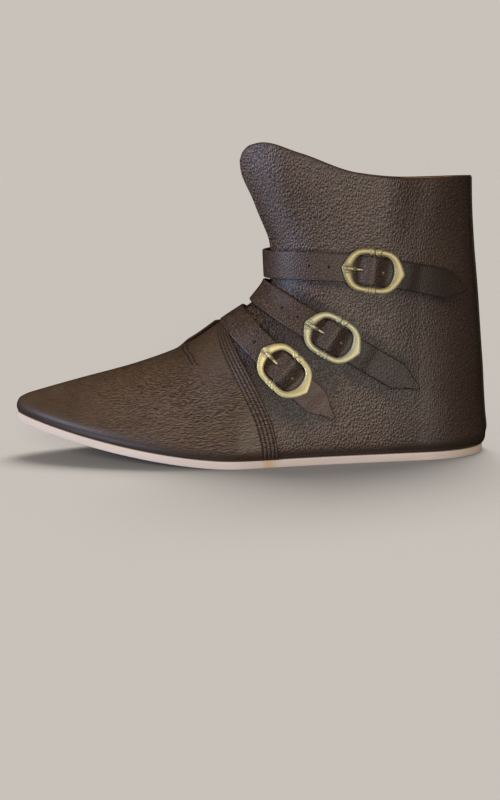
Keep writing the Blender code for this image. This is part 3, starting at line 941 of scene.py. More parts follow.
# The back seam: where it starts along the boot and above the floor, and its grooves beside the welt
BACK_SEAM_X = 118.0
BACK_SEAM_Z = 9.0
BACK_WELT_HALF_WIDTH = 2.2
BACK_GROOVE_PLACE = 2.7
BACK_GROOVE_DEPTH = 0.45

# Slack of the shaft: the height of its folds, where they begin above the floor and end along the boot
SLACK_HEIGHT = 0.9
SLACK_Z = 95.0
SLACK_X = 128.0

# Creases of the outer quarter below the bottom buckle, which slope down to the back.
# They are placed from a point in the side view: offset across a crease, middle and reach along it.
CREASE_X, CREASE_Z = 20.0, 57.0
CREASE_SLOPE = math.radians(45.0)
CREASE_WIDTH = 1.5
Crease = namedtuple("Crease", "offset middle reach depth")
CREASES = (
    Crease(-15.5, 8.0, 20.0, 0.55),
    Crease(-19.0, 12.0, 16.0, 0.45),
    Crease(-22.0, 18.0, 12.0, 0.3),
)


def quarter_relief(points, phi):
    """Back seam, creases below the buckles and slack in the shaft, in millimetres outwards."""
    x, y, z = np.moveaxis(points, -1, 0)
    beside = np.abs(y)
    at_back = smooth((x - BACK_SEAM_X) / 8.0) * smooth((z - BACK_SEAM_Z) / 6.0)
    welt = millimetres("back_seam") * smooth((BACK_WELT_HALF_WIDTH - beside) / 0.9)
    relief = at_back * (welt - BACK_GROOVE_DEPTH * bell(beside - BACK_GROOVE_PLACE, 0.6))
    back, up = x - CREASE_X, z - CREASE_Z
    across = back * math.sin(CREASE_SLOPE) + up * math.cos(CREASE_SLOPE)
    along = back * math.cos(CREASE_SLOPE) - up * math.sin(CREASE_SLOPE)
    for crease in CREASES:
        line = bump(across - crease.offset, CREASE_WIDTH) * bump(along - crease.middle, crease.reach)
        relief = relief - crease.depth * (phi < 0) * line
    slack = 0.5 * np.sin(x / 9.0 + z / 31.0) + 0.35 * np.sin(x / 5.3 - z / 17.0 + 1.3)
    loose = smooth((z - SLACK_Z) / 45.0) * smooth((SLACK_X - x) / 30.0)
    return relief + SLACK_HEIGHT * slack * loose


class BOOT_OT_quarters(bpy.types.Operator):
    """Builds the quarters: the shaft and heel from one front edge round the back to the other."""

    bl_idname = "boot.quarters"
    bl_label = "Quarters"

    LEVEL_LINE = 112.0
    ROW_STEP = 1.9
    NEAR_COLLAR = (0.045, 0.03, 0.02, 0.012, 0.006, 0.0)
    EDGE_ROUND = 0.55

    def execute(self, context):
        phi, heights = self.grid()
        points, _, _, normals = surface_frame(phi, heights)
        from_edge = self.from_edge(points, heights)
        x, y, _ = np.moveaxis(points, -1, 0)
        seam = smooth((x - BACK_SEAM_X - 2.0) / 8.0) * bump(np.abs(y) - 1.2, 0.8) * 0.8
        edge = np.maximum(bell(from_edge, 1.3), seam)
        relief = quarter_relief(points, phi) - self.EDGE_ROUND * bell(from_edge, 0.7)
        points = points + normals * relief[..., None]
        points = np.concatenate([lasting_points(phi[0])[None], points])
        unmarked = np.zeros_like(phi[:1])
        obj = mesh_object(
            "quarters", points.reshape(-1, 3), grid_faces(*points.shape[:2]),
            finish("shaft_leather"), finish("cut_edge"), finish("flesh_side"),
            edge=np.concatenate([unmarked, edge]),
            furrow=np.concatenate([unmarked, self.grime(phi, heights)]),
        )
        shell(obj, millimetres("wall"))
        finish_piece(obj, "upper_leather", "upper")
        return {"FINISHED"}

    @classmethod
    def grid(cls):
        """phi and height of the points, in rows that are level up to a line and then follow the collar."""
        shares = cls.shares()
        side = np.where(shares < 0, OUTER, INNER)

        def phis(height):
            under_vamp = phi_at_x(SEAM_LINE(height) - SEAM_UNDERLAP, level(height)) * (height < VAMP_TOP)
            edge = np.maximum(front_edge(height), under_vamp)
            return side * (edge + (math.pi - edge) * (1 - np.abs(shares)))

        tops = np.full_like(shares, COLLAR[-1].z - UPPER_BASE)
        for _ in range(SEARCH_STEPS):
            x = surface(phis(tops), tops)[..., 0]
            tops = tops + 0.5 * (COLLAR_LINE(x) - UPPER_BASE - tops)
        rise = np.concatenate([np.linspace(0, 0.94, 32), 1 - np.array(cls.NEAR_COLLAR)])
        heights = [np.full_like(shares, height) for height in upper_heights(cls.LEVEL_LINE, cls.ROW_STEP)]
        heights += [cls.LEVEL_LINE + share * (tops - cls.LEVEL_LINE) for share in rise]
        return np.stack([phis(row) for row in heights]), np.stack(heights)

    @staticmethod
    def from_edge(points, heights):
        """Distance of each point from the collar and, above the vamp, from the front edges."""
        across = np.linalg.norm(np.diff(points, axis=1, prepend=points[:, :1]), axis=-1).cumsum(axis=1)
        from_front = np.minimum(across, across[:, -1:] - across)
        upwards = np.linalg.norm(np.diff(points, axis=0, append=points[-1:]), axis=-1)
        from_top = upwards[::-1].cumsum(axis=0)[::-1]
        return np.where(heights > VAMP_TOP, np.minimum(from_front, from_top), from_top)

    @staticmethod
    def grime(phi, heights):
        """Painted shadow under each strap and just below it, where the strap and its buckle shade the
        quarters.
        """
        dark = np.zeros_like(heights)
        for line in LINES:
            runs = np.interp(phi, line.phis[::-1], line.runs[::-1])
            middle = np.interp(phi, line.phis[::-1], line.heights[::-1])
            below = (middle - heights) * math.cos(math.radians(line.strap.slope)) - STRAP_WIDTH / 2
            along = smooth(runs / 40.0) * smooth((line.tip - runs) / 20.0)
            fading = np.clip(1.25 - below / 6.0, 0, 1) ** 2 * (below > -STRAP_WIDTH - 1.0)
            dark = np.maximum(dark, along * fading)
        return dark

    @staticmethod
    def shares():
        """Places round the quarters: -1 at the outer front edge, 0 at the back, 1 at the inner front edge."""
        even = np.linspace(0, 1, 151)
        near_front = np.linspace(0.002, 0.02, 8)
        near_back = 1 - np.linspace(0.0025, 0.065, 30)
        half = np.sort(np.concatenate([even, near_back, near_front]))
        return np.concatenate([half - 1, (1 - half[::-1])[1:]])


def vamp_relief(phi, height, from_edge):
    """Step over the quarters, the sewn grooves and the raised lips of the slit, in millimetres outwards."""
    step = millimetres("seam_step") * (1 - smooth((from_edge - 6.0) / 40.0))
    relief = step - 0.5 * (1 - smooth(from_edge / 0.9))
    for groove in SEAM_GROOVES:
        relief = relief - millimetres("groove") * bell(from_edge - groove, 0.5)
    at_slit = smooth((height - 59.0) / 6.0) * smooth((SLIT_END - height) / 1.2 + 1.0)
    lip = np.where(phi > 0, millimetres("slit_lip"), 0.3) * bump(phi, 0.40)
    return relief + at_slit * lip


class BOOT_OT_vamp(bpy.types.Operator):
    """Builds the vamp: the toe and instep, with its slit and the sewn edge that lies over the quarters."""

    bl_idname = "boot.vamp"
    bl_label = "Vamp"

    NEAR_EDGE = np.concatenate([np.arange(0, 13.5, 0.33), np.arange(13.5, 25.0, 1.0)])
    ACROSS = 46

    def execute(self, context):
        low = upper_heights(SLIT_HEIGHT - 0.5, 1.6)
        heights = np.concatenate([low, np.arange(SLIT_HEIGHT, VAMP_TOP, 0.9)])
        parts, edges, painted_shades = [], [], []
        for side in (OUTER, INNER):
            rows = [self.row(height, side) for height in heights]
            grid = np.stack([lasting_points(side * self.places(heights[0])[0])] + [row[0] for row in rows])
            faces = grid_faces(*grid.shape[:2])
            parts.append((grid.reshape(-1, 3), turned(faces) if side == OUTER else faces))
            edges += [np.zeros_like(rows[0][1])] + [row[1] for row in rows]
            painted_shades += [np.zeros_like(rows[0][2])] + [row[2] for row in rows]
        obj = mesh_object(
            "vamp", *join_parts(parts), finish("vamp_leather"), finish("cut_edge"), finish("flesh_side"),
            edge=np.concatenate(edges), furrow=np.concatenate(painted_shades),
        )
        welded(obj)
        shell(obj, millimetres("vamp"))
        finish_piece(obj, "upper_leather")
        return {"FINISHED"}

    @classmethod
    def places(cls, height):
        """phi from the back edge to the middle, and the distance of each from the edge."""
        edge = float(seam_phi(np.array(height)))
        stop = float(front_edge(np.array(height)))
        fine = np.linspace(edge, stop, 400)
        runs = run_lengths(surface(fine, np.full_like(fine, height)))
        reach = min(cls.NEAR_EDGE[-1], 0.75 * runs[-1])
        near = cls.NEAR_EDGE * reach / cls.NEAR_EDGE[-1]
        rest = reach + (runs[-1] - reach) * np.linspace(0, 1, cls.ACROSS + 1)[1:]
        wanted = np.concatenate([near, rest])
        return np.interp(wanted, runs, fine), wanted

    @classmethod
    def row(cls, height, side):
        """Points of one row, how near each is to a cut edge, and its painted shade in the sewn grooves and
        beside the slit.
        """
        phi, from_edge = cls.places(height)
        phi = side * np.maximum(phi, 1e-9)
        heights = np.full_like(phi, height)
        points, _, _, normals = surface_frame(phi, heights)
        edge = bell(from_edge, 0.7)
        # Painted shade in the sewn grooves.
        furrow = sum(bell(from_edge - groove, 0.4) for groove in SEAM_GROOVES)
        if height > SLIT_HEIGHT + 0.01:
            # Painted shade beside the slit, where its far lip lies in shadow.
            furrow = np.maximum(furrow, bell(from_edge[-1] - from_edge, 1.3))
        else:
            points[-1, 1] = toe_swing(points[-1, 0])
            normals[-1, 1] = 0.0
            normals[-1] = unit(normals[-1])
        return points + normals * vamp_relief(phi, heights, from_edge)[..., None], edge, furrow


class BOOT_OT_bottom(bpy.types.Operator):
    """Builds the outsole and the insole."""

    bl_idname = "boot.bottom"
    bl_label = "Sole and insole"

    AROUND = 280
    SPINE_FRONT = 24.0
    SPINE_BACK = 26.0
    WAVES = 12
    WAVE_HEIGHT = 0.10

    def execute(self, context):
        sole = self.layer(SOLE_INSETS, SOLE_THICKNESS, SOLE_THICKNESS, SOLE_EDGE_ROUND)
        obj = welded(mesh_object("outsole_leather", *sole, finish("sole_leather")), 1e-5)
        finish_piece(obj, "sole_leather", "outsole")
        top = UPPER_BASE + millimetres("wall") + INSOLE_CLEARANCE + INSOLE_THICKNESS
        insole = self.layer(INSOLE_INSETS, top, INSOLE_THICKNESS, INSOLE_EDGE_ROUND)
        obj = welded(mesh_object("insole_leather", *insole, finish("insole_leather")), 1e-5)
        finish_piece(obj, "insole_leather", "insole")
        return {"FINISHED"}

    @classmethod
    def layer(cls, insets, top, thickness, edge_round):
        """Points and faces of a layer: rings from the spine on top, round the edge, to the spine below."""
        front, sides, back = insets
        foot = level(np.array(0.0))
        section = foot._replace(
            front=foot.front + front, back=foot.back - back,
            ball=foot.ball - sides, waist=foot.waist - sides, heel=foot.heel - sides,
        )
        shares = np.linspace(-1, 1, cls.AROUND + 1)[:-1]
        phi = np.where(shares < 0, OUTER, INNER) * np.maximum(math.pi * (1 - np.abs(shares)), 1e-9)
        x, y = section_point(section, phi)
        rim = np.stack([x, toe_swing(x) + y], axis=-1)
        spine_x = np.clip(x, section.front + cls.SPINE_FRONT, section.back - cls.SPINE_BACK)
        spine = np.stack([spine_x, toe_swing(spine_x)], axis=-1)
        outwards = unit(rim - spine)
        inside = [(spine + (rim - spine) * share, 0.0) for share in (0.0, 0.25, 0.5, 0.75, 0.9)]
        for turn in np.linspace(0, math.pi / 2, 4):
            rounded = rim - outwards * edge_round * (1 - math.sin(turn))
            inside.append((rounded, edge_round * (1 - math.cos(turn))))
        wave = cls.WAVE_HEIGHT * np.sin(np.linspace(0, 2 * cls.WAVES * math.pi, len(rim)))[:, None]
        wavy, upright = rim + outwards * wave, thickness - 2 * edge_round
        rings = inside + [(wavy, edge_round + share * upright) for share in (0.35, 0.65)]
        rings += [(plan, thickness - drop) for plan, drop in inside[::-1]]
        rows = []
        for plan, drop in rings:
            slope = toe_spring(plan[:, 0] + 0.5) - toe_spring(plan[:, 0] - 0.5)
            lean = drop / np.sqrt(1 + slope**2)
            x = plan[:, 0] + slope * lean
            rows.append(np.stack([x, plan[:, 1], top + toe_spring(plan[:, 0]) - lean], axis=-1))
        points = np.stack(rows)
        return points.reshape(-1, 3), turned(grid_faces(*points.shape[:2], round_rows=True))


def strap_lift(along):
    """Height of a strap's underside over the upper. along is measured from the buckle's bar."""
    over_bar = BAR_LEVEL + BAR_RADIUS + CHAPE_THICKNESS + 2 * LAYER_GAP
    over_tail = GAP + CHAPE_THICKNESS + LAYER_GAP
    low = np.where(along < 0, STRAP_CLEARANCE, over_tail)
    span = np.where(along < 0, BULGE_FRONT, BULGE_BACK)
    lift = low + (over_bar - low) * smooth(1 - np.abs(along) / span)
    fall = STRAP_CLEARANCE + (over_tail - STRAP_CLEARANCE) * smooth(1 - (along - CHAPE_TAIL - 1.5) / 8.0)
    return np.where(along > CHAPE_TAIL, fall, lift)


def strap_profile():
    """Cross section of a strap as (share of half width, inset from it, share of thickness), anticlockwise."""
    top = [(t, 0.0, 1.0) for t in np.linspace(0.86, -0.86, 9)]
    turns = np.linspace(0, math.pi / 2, 4)
    left = [(-1.0, STRAP_EDGE_ROUND * (1 - math.sin(a)), 1 - (1 - math.cos(a)) * 0.45) for a in turns]
    under = [(t, 0.0, 0.0) for t in np.linspace(-0.95, 0.95, 9)]
    right = [(-share, inset, rise) for share, inset, rise in left[::-1]]
    return np.array(top + left + under + right)


class BOOT_OT_straps(bpy.types.Operator):
    """Builds the straps with their holes, from the sewn inner end to the point."""

    bl_idname = "boot.straps"
    bl_label = "Straps"

    BUCKLE_REACH = 14.0
    WINDOW_SHADE = 0.6
    PUNCH_LENGTH = 4.0

    def execute(self, context):
        for line in LINES:
            name = f"strap_leather_{line.strap.name}"
            # Painted shade on the tail and inside the frame; a negative tail value makes the tail paler
            # through the edge mark instead.
            shade = TAIL_SHADES[line.strap.name] * self.tail(line)
            solid = self.strap(line)
            around = len(solid[0]) // len(shade)
            obj = mesh_object(
                name, *solid, finish("strap_leather"), finish("cut_edge"),
                furrow=np.repeat(np.maximum(shade, self.WINDOW_SHADE * self.window(line)), around),
                edge=np.repeat(np.maximum(-shade, 0.0), around),
            )
            cut_with(obj, self.punches(line))
            finish_piece(obj, "strap_leather", f"strap_{line.strap.name}")
        return {"FINISHED"}

    @classmethod
    def runs(cls, line):
        """Places along a strap, close together in the buckle and at the point."""
        front, back = line.buckle - cls.BUCKLE_REACH, line.buckle + cls.BUCKLE_REACH
        point = line.tip - STRAP_POINT
        return np.concatenate([
            np.linspace(-STRAP_ANCHOR, front, 150)[:-1],
            np.linspace(front, back, 50)[:-1],
            np.linspace(back, point, 40)[:-1],
            np.linspace(point, line.tip, 18),
        ])

    def tail(self, line):
        """How much each place belongs to the tail, behind the buckle."""
        runs = self.runs(line)
        return np.clip((runs - line.buckle - 8) / 4, 0, 1) * np.clip((line.tip - runs) / 16, 0, 1)

    def window(self, line):
        """How much each place belongs to the painted shade inside the frame, behind the bar."""
        past = self.runs(line) - line.buckle
        return np.clip((past + 1) / 4, 0, 1) * np.clip((15 - past) / 4, 0, 1)

    def strap(self, line):
        """Points and faces of a strap with rounded edges and a creased line beside them."""
        runs = self.runs(line)
        narrow = np.clip((line.tip - runs) / STRAP_POINT, 0.0, 1.0)
        half = STRAP_POINT_WIDTH / 2 + (STRAP_WIDTH - STRAP_POINT_WIDTH) / 2 * narrow
        half = half[:, None]
        share, inset, rise = strap_profile().T[:, None]
        across = share * half - np.sign(share) * np.minimum(inset, half * 0.6)
        top = rise > 0.9
        crown = STRAP_CROWN * (1 - (across / (STRAP_WIDTH / 2)) ** 2) * top
        crease = STRAP_CREASE * bump(np.abs(across) - (half - STRAP_CREASE_INSET), 0.5) * top
        out = strap_lift(runs - line.buckle)[:, None] + STRAP_THICKNESS * rise + crown - crease
        return loft(line.point(np.broadcast_to(runs[:, None], across.shape), across, out))

    @classmethod
    def punches(cls, line):
        """Cutters for the punched holes, which are blind, and for the hole that the pin goes through."""
        cutters = []
        for hole in line.strap.holes:
            behind_bar = hole > 0
            bottom = float(strap_lift(np.array(hole))) + (1.3 if behind_bar else 0.7)
            outs = np.array([bottom, bottom + cls.PUNCH_LENGTH])
            ends = line.point(np.full(2, line.buckle + hole), np.zeros(2), outs)
            punch = tube(ends, HOLE_RADIUS, side=(0.3, 0.2, 1.0), sides=14)
            cutters.append(mesh_object("punch", *punch, finish("flesh_side" if behind_bar else "cut_edge")))
        route, _ = pin_route()
        leg = route[PIN_EYE_POINTS - 1:-1]
        passage = [(2.5, 0.0, leg[0][2] - 0.2), *leg]
        cutter = mesh_object("punch", *tube(passage, PIN_HOLE_RADIUS, sides=12), finish("cut_edge"))
        cutter.matrix_world = line.matrix()
        return [*cutters, cutter]


def frame_level(x):
    """Height of the frame's middle over the bar."""
    return BUCKLE_LIFT + BUCKLE_BOW * (2 * x / BUCKLE_LENGTH) ** 2 + BUCKLE_TILT * x


def oval_radius(angle, half_length, half_height, fullness, roundness):
    """Distance from the middle of an oval to its edge, by angle. High roundness makes pointed ends."""
    c, s = np.abs(np.cos(angle)), np.abs(np.sin(angle))

    def inside(radius):
        x = np.minimum(radius * c / half_length, 1.0)
        return radius * s / half_height < (1 - x**fullness) ** roundness

    return turning_point(np.zeros_like(angle), np.full_like(angle, half_length), inside)


def pin_route():
    """Middle line and radii of a pin: its eye round the bar, then out to the front end of the frame."""
    tip = -BUCKLE_LENGTH / 2 + 3.6
    rest = BUCKLE_THICKNESS / 2 + BUCKLE_CROWN + LAYER_GAP + PIN_RADIUS - 0.55
    eye = BAR_RADIUS + LAYER_GAP + PIN_EYE_RADIUS
    turns = np.linspace(-0.8 * math.pi, 0.5 * math.pi, PIN_EYE_POINTS)
    route = [(eye * math.cos(a), 0.0, eye * math.sin(a)) for a in turns]
    radii = [PIN_EYE_RADIUS] * len(route)
    front_end = frame_level(-14.0) + rest
    route += [(-3.0, 0.0, eye - 0.3), (-9.5, 0.0, eye - 1.0), (-11.5, 0.0, front_end - 0.5)]
    route += [(-13.0, 0.0, front_end), (tip, 0.0, frame_level(tip) + rest - 0.1)]
    radii += [PIN_RADIUS, PIN_RADIUS, 1.25 * PIN_RADIUS, 1.25 * PIN_RADIUS, 0.9 * PIN_RADIUS]
    return route, radii


# Beads across the frame's arms, by place along the arm: two on the upper arm, three small ones on the lower.
Bead = namedtuple("Bead", "arm place width size")
BEADS = (
    Bead(1, -1.9, 1.7, 0.75),
    Bead(1, 1.9, 1.7, 0.75),
    Bead(-1, -1.9, 1.0, 0.6),
    Bead(-1, 0.0, 1.0, 0.65),
    Bead(-1, 1.9, 1.0, 0.6),
)

# Outline of the frame's section: shares of its half width, and of its height above and below the middle
FRAME_SECTION = np.array([
    (-0.9, -1.0), (0.9, -1.0), (1.0, -0.7), (1.0, 0.5), (0.96, 0.72), (0.84, 0.86), (0.4, 0.96),
    (0.08, 1.0), (-0.4, 0.95), (-0.82, 0.84), (-0.96, 0.70), (-1.0, 0.5), (-1.0, -0.7),
])


class BOOT_OT_buckles(bpy.types.Operator):
    """Builds the cast frames with their beads, the bars and the pins."""

    bl_idname = "boot.buckles"
    bl_label = "Buckles and pins"

    def execute(self, context):
        for line in LINES:
            name = line.strap.name
            brass = finish(f"brass_{name}")
            buckle = mesh_object(f"buckle_brass_{name}", *join_parts([self.frame(), self.bar()]), brass)
            buckle.matrix_world = line.matrix()
            finish_piece(buckle, "brass", f"buckle_{name}")
            pin = mesh_object(f"pin_brass_{name}", *self.pin(), brass)
            pin.matrix_world = line.matrix()
            finish_piece(pin, "brass", f"pin_{name}")
        return {"FINISHED"}

    @staticmethod
    def frame():
        """Points and faces of the frame: a band with two facets that meet in a ridge."""
        angle = np.linspace(0, 2 * math.pi, 241)[:-1]
        outer = oval_radius(angle, BUCKLE_LENGTH / 2, BUCKLE_HEIGHT / 2, BUCKLE_FULLNESS, BUCKLE_ROUNDNESS)
        inner = oval_radius(angle, WINDOW_LENGTH / 2, WINDOW_HEIGHT / 2, WINDOW_FULLNESS, WINDOW_ROUNDNESS)
        half, middle = (outer - inner) / 2, (outer + inner) / 2
        along, across = middle * np.cos(angle), middle * np.sin(angle)
        bead = np.zeros_like(angle)
        for b in BEADS:
            on_arm = np.sin(angle) * b.arm > 0.7
            swell = np.sqrt(np.maximum(0.0, 1 - ((along - b.place) / b.width) ** 2))
            bead = np.maximum(bead, on_arm * b.size * swell)
        neck = (np.abs(np.sin(angle)) > 0.7) * bump(along, 6.0) * 0.35
        seat = (np.cos(angle) < 0) * (0.75 * bump(across, 1.5) - 0.25 * bump(np.abs(across) - 2.1, 0.9))
        sideways, upwards = FRAME_SECTION.T[:, None]
        grown = half + bead * 0.75 - neck * 0.6
        radius = middle[:, None] + sideways * grown[:, None]
        top = BUCKLE_THICKNESS / 2 + BUCKLE_CROWN + 0.25 + bead * 0.7 - neck * 0.5 - seat
        height = np.where(upwards > 0, top[:, None], BUCKLE_THICKNESS / 2) * upwards
        x, y = radius * np.cos(angle)[:, None], radius * np.sin(angle)[:, None]
        points = np.stack([x, y, height + frame_level(x)], axis=-1)
        rows, columns = points.shape[:2]
        faces = grid_faces(rows + 1, columns, round_rows=True)
        return points.reshape(-1, 3), [[i % (rows * columns) for i in face] for face in faces]

    @staticmethod
    def bar():
        reach = WINDOW_HEIGHT / 2 + 1.4
        return tube([(0, -reach, 0), (0, 0, 0), (0, reach, 0)], BAR_RADIUS, side=(1, 0, 0), sides=14)

    @staticmethod
    def pin():
        route, radii = pin_route()
        route = np.array(route)
        runs = run_lengths(route)
        eye_end = runs[PIN_EYE_POINTS - 1]
        fine = np.concatenate([np.linspace(0, eye_end, 20)[:-1], np.linspace(eye_end, runs[-1], 28)])
        path = np.stack([Curve(runs, route[:, i])(fine) for i in range(3)], axis=-1)
        return tube(path, np.interp(fine, runs, radii), sides=12)


class BOOT_OT_chapes(bpy.types.Operator):
    """Builds the folded leather tabs that hold the bars."""

    bl_idname = "boot.chapes"
    bl_label = "Chapes"

    def execute(self, context):
        inner = BAR_RADIUS + LAYER_GAP
        outer = inner + CHAPE_THICKNESS
        fold = np.linspace(-0.5 * math.pi, -1.5 * math.pi, 15)
        tail = np.linspace(CHAPE_TAIL, 0, 14)[:-1]
        low = GAP + CHAPE_THICKNESS + LAYER_GAP
        back = [(CHAPE_RETURN * t, low * t + (BAR_LEVEL + inner) * (1 - t)) for t in (0.33, 0.66, 1)]
        profile = [(along, GAP) for along in tail]
        profile += [(outer * math.cos(a), BAR_LEVEL + outer * math.sin(a)) for a in fold]
        profile += [(along, out + CHAPE_THICKNESS) for along, out in back]
        profile += back[::-1]
        profile += [(inner * math.cos(a), BAR_LEVEL + inner * math.sin(a)) for a in fold[::-1]]
        profile += [(along, GAP + CHAPE_THICKNESS) for along in tail[::-1]]
        profile = np.array(profile)
        for line in LINES:
            parts = [self.half(line, profile, sign) for sign in (OUTER, INNER)]
            obj = mesh_object(f"chape_leather_{line.strap.name}", *join_parts(parts), finish("strap_leather"))
            finish_piece(obj, "strap_leather", f"chape_{line.strap.name}")
        return {"FINISHED"}

    @staticmethod
    def half(line, profile, sign):
        """One side of the tab, beside the pin."""
        across = sign * np.linspace(CHAPE_WIDTH / 2, 1.4, 8)[:, None]
        points, faces = loft(line.point(line.buckle + profile[None, :, 0], across, profile[None, :, 1]))
        return points, turned(faces) if sign == INNER else faces


# Rows that close the end of the slit, from the ridge down the outer side, by phi and height
SLIT_ROWS = (
    ((-0.140, -0.476, -0.692), (61.5, 58.0, 53.5)),
    ((-0.167, -0.510, -0.739), (62.8, 58.8, 53.5)),
)


class BOOT_OT_stitching(bpy.types.Operator):
    """Sews the vamp's edge, the end of the slit and the inner ends of the straps."""

    bl_idname = "boot.stitching"
    bl_label = "Stitching"

    def execute(self, context):
        radius = millimetres("thread") / 2
        parts = []
        heights = np.linspace(4.0, 74.0, 60)
        for side in (OUTER, INNER):
            for groove in SEAM_GROOVES:
                phi = [np.interp(groove, *BOOT_OT_vamp.places(height)[::-1]) for height in heights]
                sewn = self.on_vamp(side * np.array(phi), heights, groove)
                parts += stitch_row(*sewn, SEAM_STITCHES, radius)
        for row in SLIT_ROWS:
            phi, height = (np.interp(np.linspace(0, 2, 21), (0, 1, 2), places) for places in row)
            sewn = self.on_vamp(phi, height, np.linspace(36, 26, 21))
            parts += stitch_row(*sewn, SLIT_STITCHES, 1.3 * radius)
        for line in LINES:
            runs = np.linspace(-STRAP_ANCHOR + 2, -STRAP_ANCHOR + 22, 20)
            across = np.linspace(-6, 6, 12)
            for edge in (across[0], across[-1]):
                parts += self.on_strap(line, runs, np.full_like(runs, edge), radius)
            parts += self.on_strap(line, np.full_like(across, runs[0]), across, radius)
        obj = mesh_object("stitching", *join_parts(parts), finish("waxed_thread"))
        finish_piece(obj, "strap_leather")
        return {"FINISHED"}

    @staticmethod
    def on_vamp(phi, heights, from_edge):
        """Points just over the vamp's leather, and their normals."""
        points, _, _, normals = surface_frame(phi, heights)
        relief = vamp_relief(phi, heights, np.full_like(phi, from_edge))
        return points + normals * (relief + 0.1)[..., None], normals

    @staticmethod
    def on_strap(line, runs, across, radius):
        """A row of stitches on a strap."""
        top = strap_lift(runs - line.buckle) + STRAP_THICKNESS + 0.15
        *_, normals = line.frame(runs)
        return stitch_row(line.point(runs, across, top), normals, STRAP_STITCHES, radius)


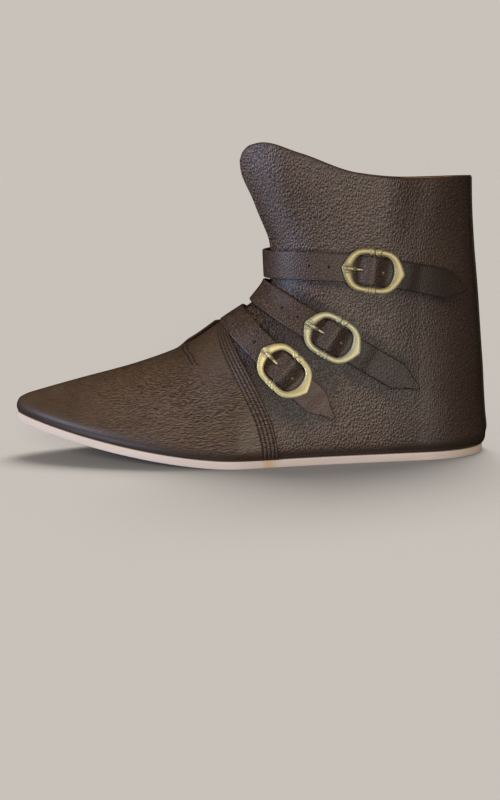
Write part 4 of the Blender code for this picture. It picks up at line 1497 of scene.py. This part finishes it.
class BOOT_OT_stage(bpy.types.Operator):
    """Builds the room, the floor, the lights and the camera."""

    bl_idname = "boot.stage"
    bl_label = "Stage"

    def execute(self, context):
        boot = self.group("boot_lighting", "")
        brass = self.group("brass_lighting", "brass")
        self.room()
        floor = self.floor()
        self.lights(boot, brass, floor)
        self.camera(context.scene)
        return {"FINISHED"}

    @staticmethod
    def group(name, word):
        """Collection of the pieces so far with the word in their name, for lights that shine on them only."""
        made = bpy.data.collections.new(name)
        for obj in bpy.context.scene.objects:
            if word in obj.name:
                made.objects.link(obj)
        return made

    @staticmethod
    def room():
        """Even light from all sides, which is also the background."""
        world = bpy.data.worlds.new("studio")
        world.use_nodes = True
        world.node_tree.nodes["Background"].inputs["Color"].default_value = rgba(colours().room)
        bpy.context.scene.world = world
        world.cycles_visibility.glossy = False
        bpy.context.scene.view_settings.view_transform = "Standard"

    @staticmethod
    def floor():
        """Wide floor that meets the background without a line, in a collection of its own."""
        made = Finish("studio_floor")
        cloud = made.place.noise(0.004, 2.0, 0.5)
        tone = colours().floor
        made.set(Base_Color=cloud.blend(rgba(tone, 0.995), rgba(tone, 1.005)))
        made.set(Roughness=0.9, Specular_IOR_Level=0.0)
        near, away, far = 500.0, 3000.0, 20000.0
        widths = (-far, -near, near, far)
        depths = (-away, -near, near, away, far)
        points = [(x, y, 0.0) for y in depths for x in widths]
        obj = mesh_object("floor", points, grid_faces(len(depths), len(widths)), made.material)
        obj.visible_glossy = False
        alone = bpy.data.collections.new("floor_lighting")
        alone.objects.link(obj)
        return alone

    @staticmethod
    def light(kind, name, place, colour, lit, **settings):
        """A lamp that points at the boot and lights one collection only."""
        data = bpy.data.lights.new(name, kind)
        data.color = colour
        for key, value in settings.items():
            setattr(data, key, value)
        obj = bpy.data.objects.new(name, data)
        obj.location = place
        obj.rotation_euler = (Vector(LIGHTS_AIM) - Vector(place)).to_track_quat("-Z", "Y").to_euler()
        obj.light_linking.receiver_collection = lit
        bpy.context.scene.collection.objects.link(obj)
        return obj

    def lights(self, boot, brass, floor):
        """Lamps round the boot, one for its brass alone, one below the floor, and the floor's two suns."""
        c = colours()
        self.light("AREA", "window", (-1.3, -0.7, 0.35), c.window, boot, energy=13.5, size=0.45)
        lamp = self.light("AREA", "lamp", (-0.02, -1.3, 0.10), c.lamp, boot, energy=3.5, size=0.3)
        top = self.light("AREA", "top", (-0.35, -0.5, 1.1), c.lamp, boot, energy=10.0, size=0.5)
        lamp.visible_glossy = top.visible_glossy = False
        self.light("AREA", "gleam", (0.30, -1.3, 0.12), c.lamp, boot, energy=6.0, size=0.35)
        self.light("AREA", "card", (-0.2, -1.5, 0.75), c.lamp, brass, energy=3.0, size=1.4)
        bounce = self.light("AREA", "bounce", (-0.75, -0.45, -0.55), c.window, boot, energy=3.5, size=0.35)
        bounce.light_linking.blocker_collection = boot
        wide, narrow = math.radians(40), math.radians(25)
        self.light("SUN", "skylight", (0.12, 0.45, 0.95), c.skylight, floor, energy=6.7, angle=wide)
        self.light("SUN", "fill", (0.0, -0.95, 0.38), c.skylight, floor, energy=4.7, angle=narrow)

    @staticmethod
    def camera(scene):
        """The photo's camera, which looks down and is rolled a little."""
        down, roll = math.radians(CAMERA_DOWN), math.radians(CAMERA_ROLL)
        forward = Vector((0, math.cos(down), -math.sin(down)))
        level_up = Vector((0, math.sin(down), math.cos(down)))
        level_right = Vector((1, 0, 0))
        right = level_right * math.cos(roll) - level_up * math.sin(roll)
        up = level_up * math.cos(roll) + level_right * math.sin(roll)
        data = bpy.data.cameras.new("photo_camera")
        data.sensor_fit = "VERTICAL"
        data.sensor_height = SENSOR
        data.lens = SENSOR * CAMERA_FOCAL_PIXELS / PICTURE_HEIGHT
        data.clip_end = 50.0
        obj = bpy.data.objects.new("photo_camera", data)
        turn = Matrix((right, up, -forward)).transposed().to_4x4()
        obj.matrix_world = Matrix.Translation(CAMERA_PLACE) @ turn
        scene.collection.objects.link(obj)
        scene.camera = obj


class BOOT_PT_panel(bpy.types.Panel):
    """Lists the boot's sizes, colours and building steps."""

    bl_idname = "BOOT_PT_panel"
    bl_label = "Ankle boot"
    bl_space_type = "VIEW_3D"
    bl_region_type = "UI"
    bl_category = "Boot"

    def draw(self, context):
        for group in (context.scene.boot_sizes, context.scene.boot_colours):
            box = self.layout.box()
            for name in group.__annotations__:
                box.prop(group, name)
        for step in STEPS:
            self.layout.operator(step.bl_idname)


STEPS = (
    BOOT_OT_quarters,
    BOOT_OT_vamp,
    BOOT_OT_bottom,
    BOOT_OT_straps,
    BOOT_OT_buckles,
    BOOT_OT_chapes,
    BOOT_OT_stitching,
    BOOT_OT_stage,
)
CLASSES = (BootSizes, BootColours, *STEPS, BOOT_PT_panel)


def register():
    for cls in CLASSES:
        bpy.utils.register_class(cls)
    bpy.types.Scene.boot_sizes = bpy.props.PointerProperty(type=BootSizes)
    bpy.types.Scene.boot_colours = bpy.props.PointerProperty(type=BootColours)


def unregister():
    del bpy.types.Scene.boot_colours
    del bpy.types.Scene.boot_sizes
    for cls in reversed(CLASSES):
        bpy.utils.unregister_class(cls)


def main():
    register()
    bpy.ops.boot.quarters()
    bpy.ops.boot.vamp()
    bpy.ops.boot.bottom()
    bpy.ops.boot.straps()
    bpy.ops.boot.buckles()
    bpy.ops.boot.chapes()
    bpy.ops.boot.stitching()
    bpy.ops.boot.stage()
    bpy.context.view_layer.update()


if __name__ == "__main__":
    main()
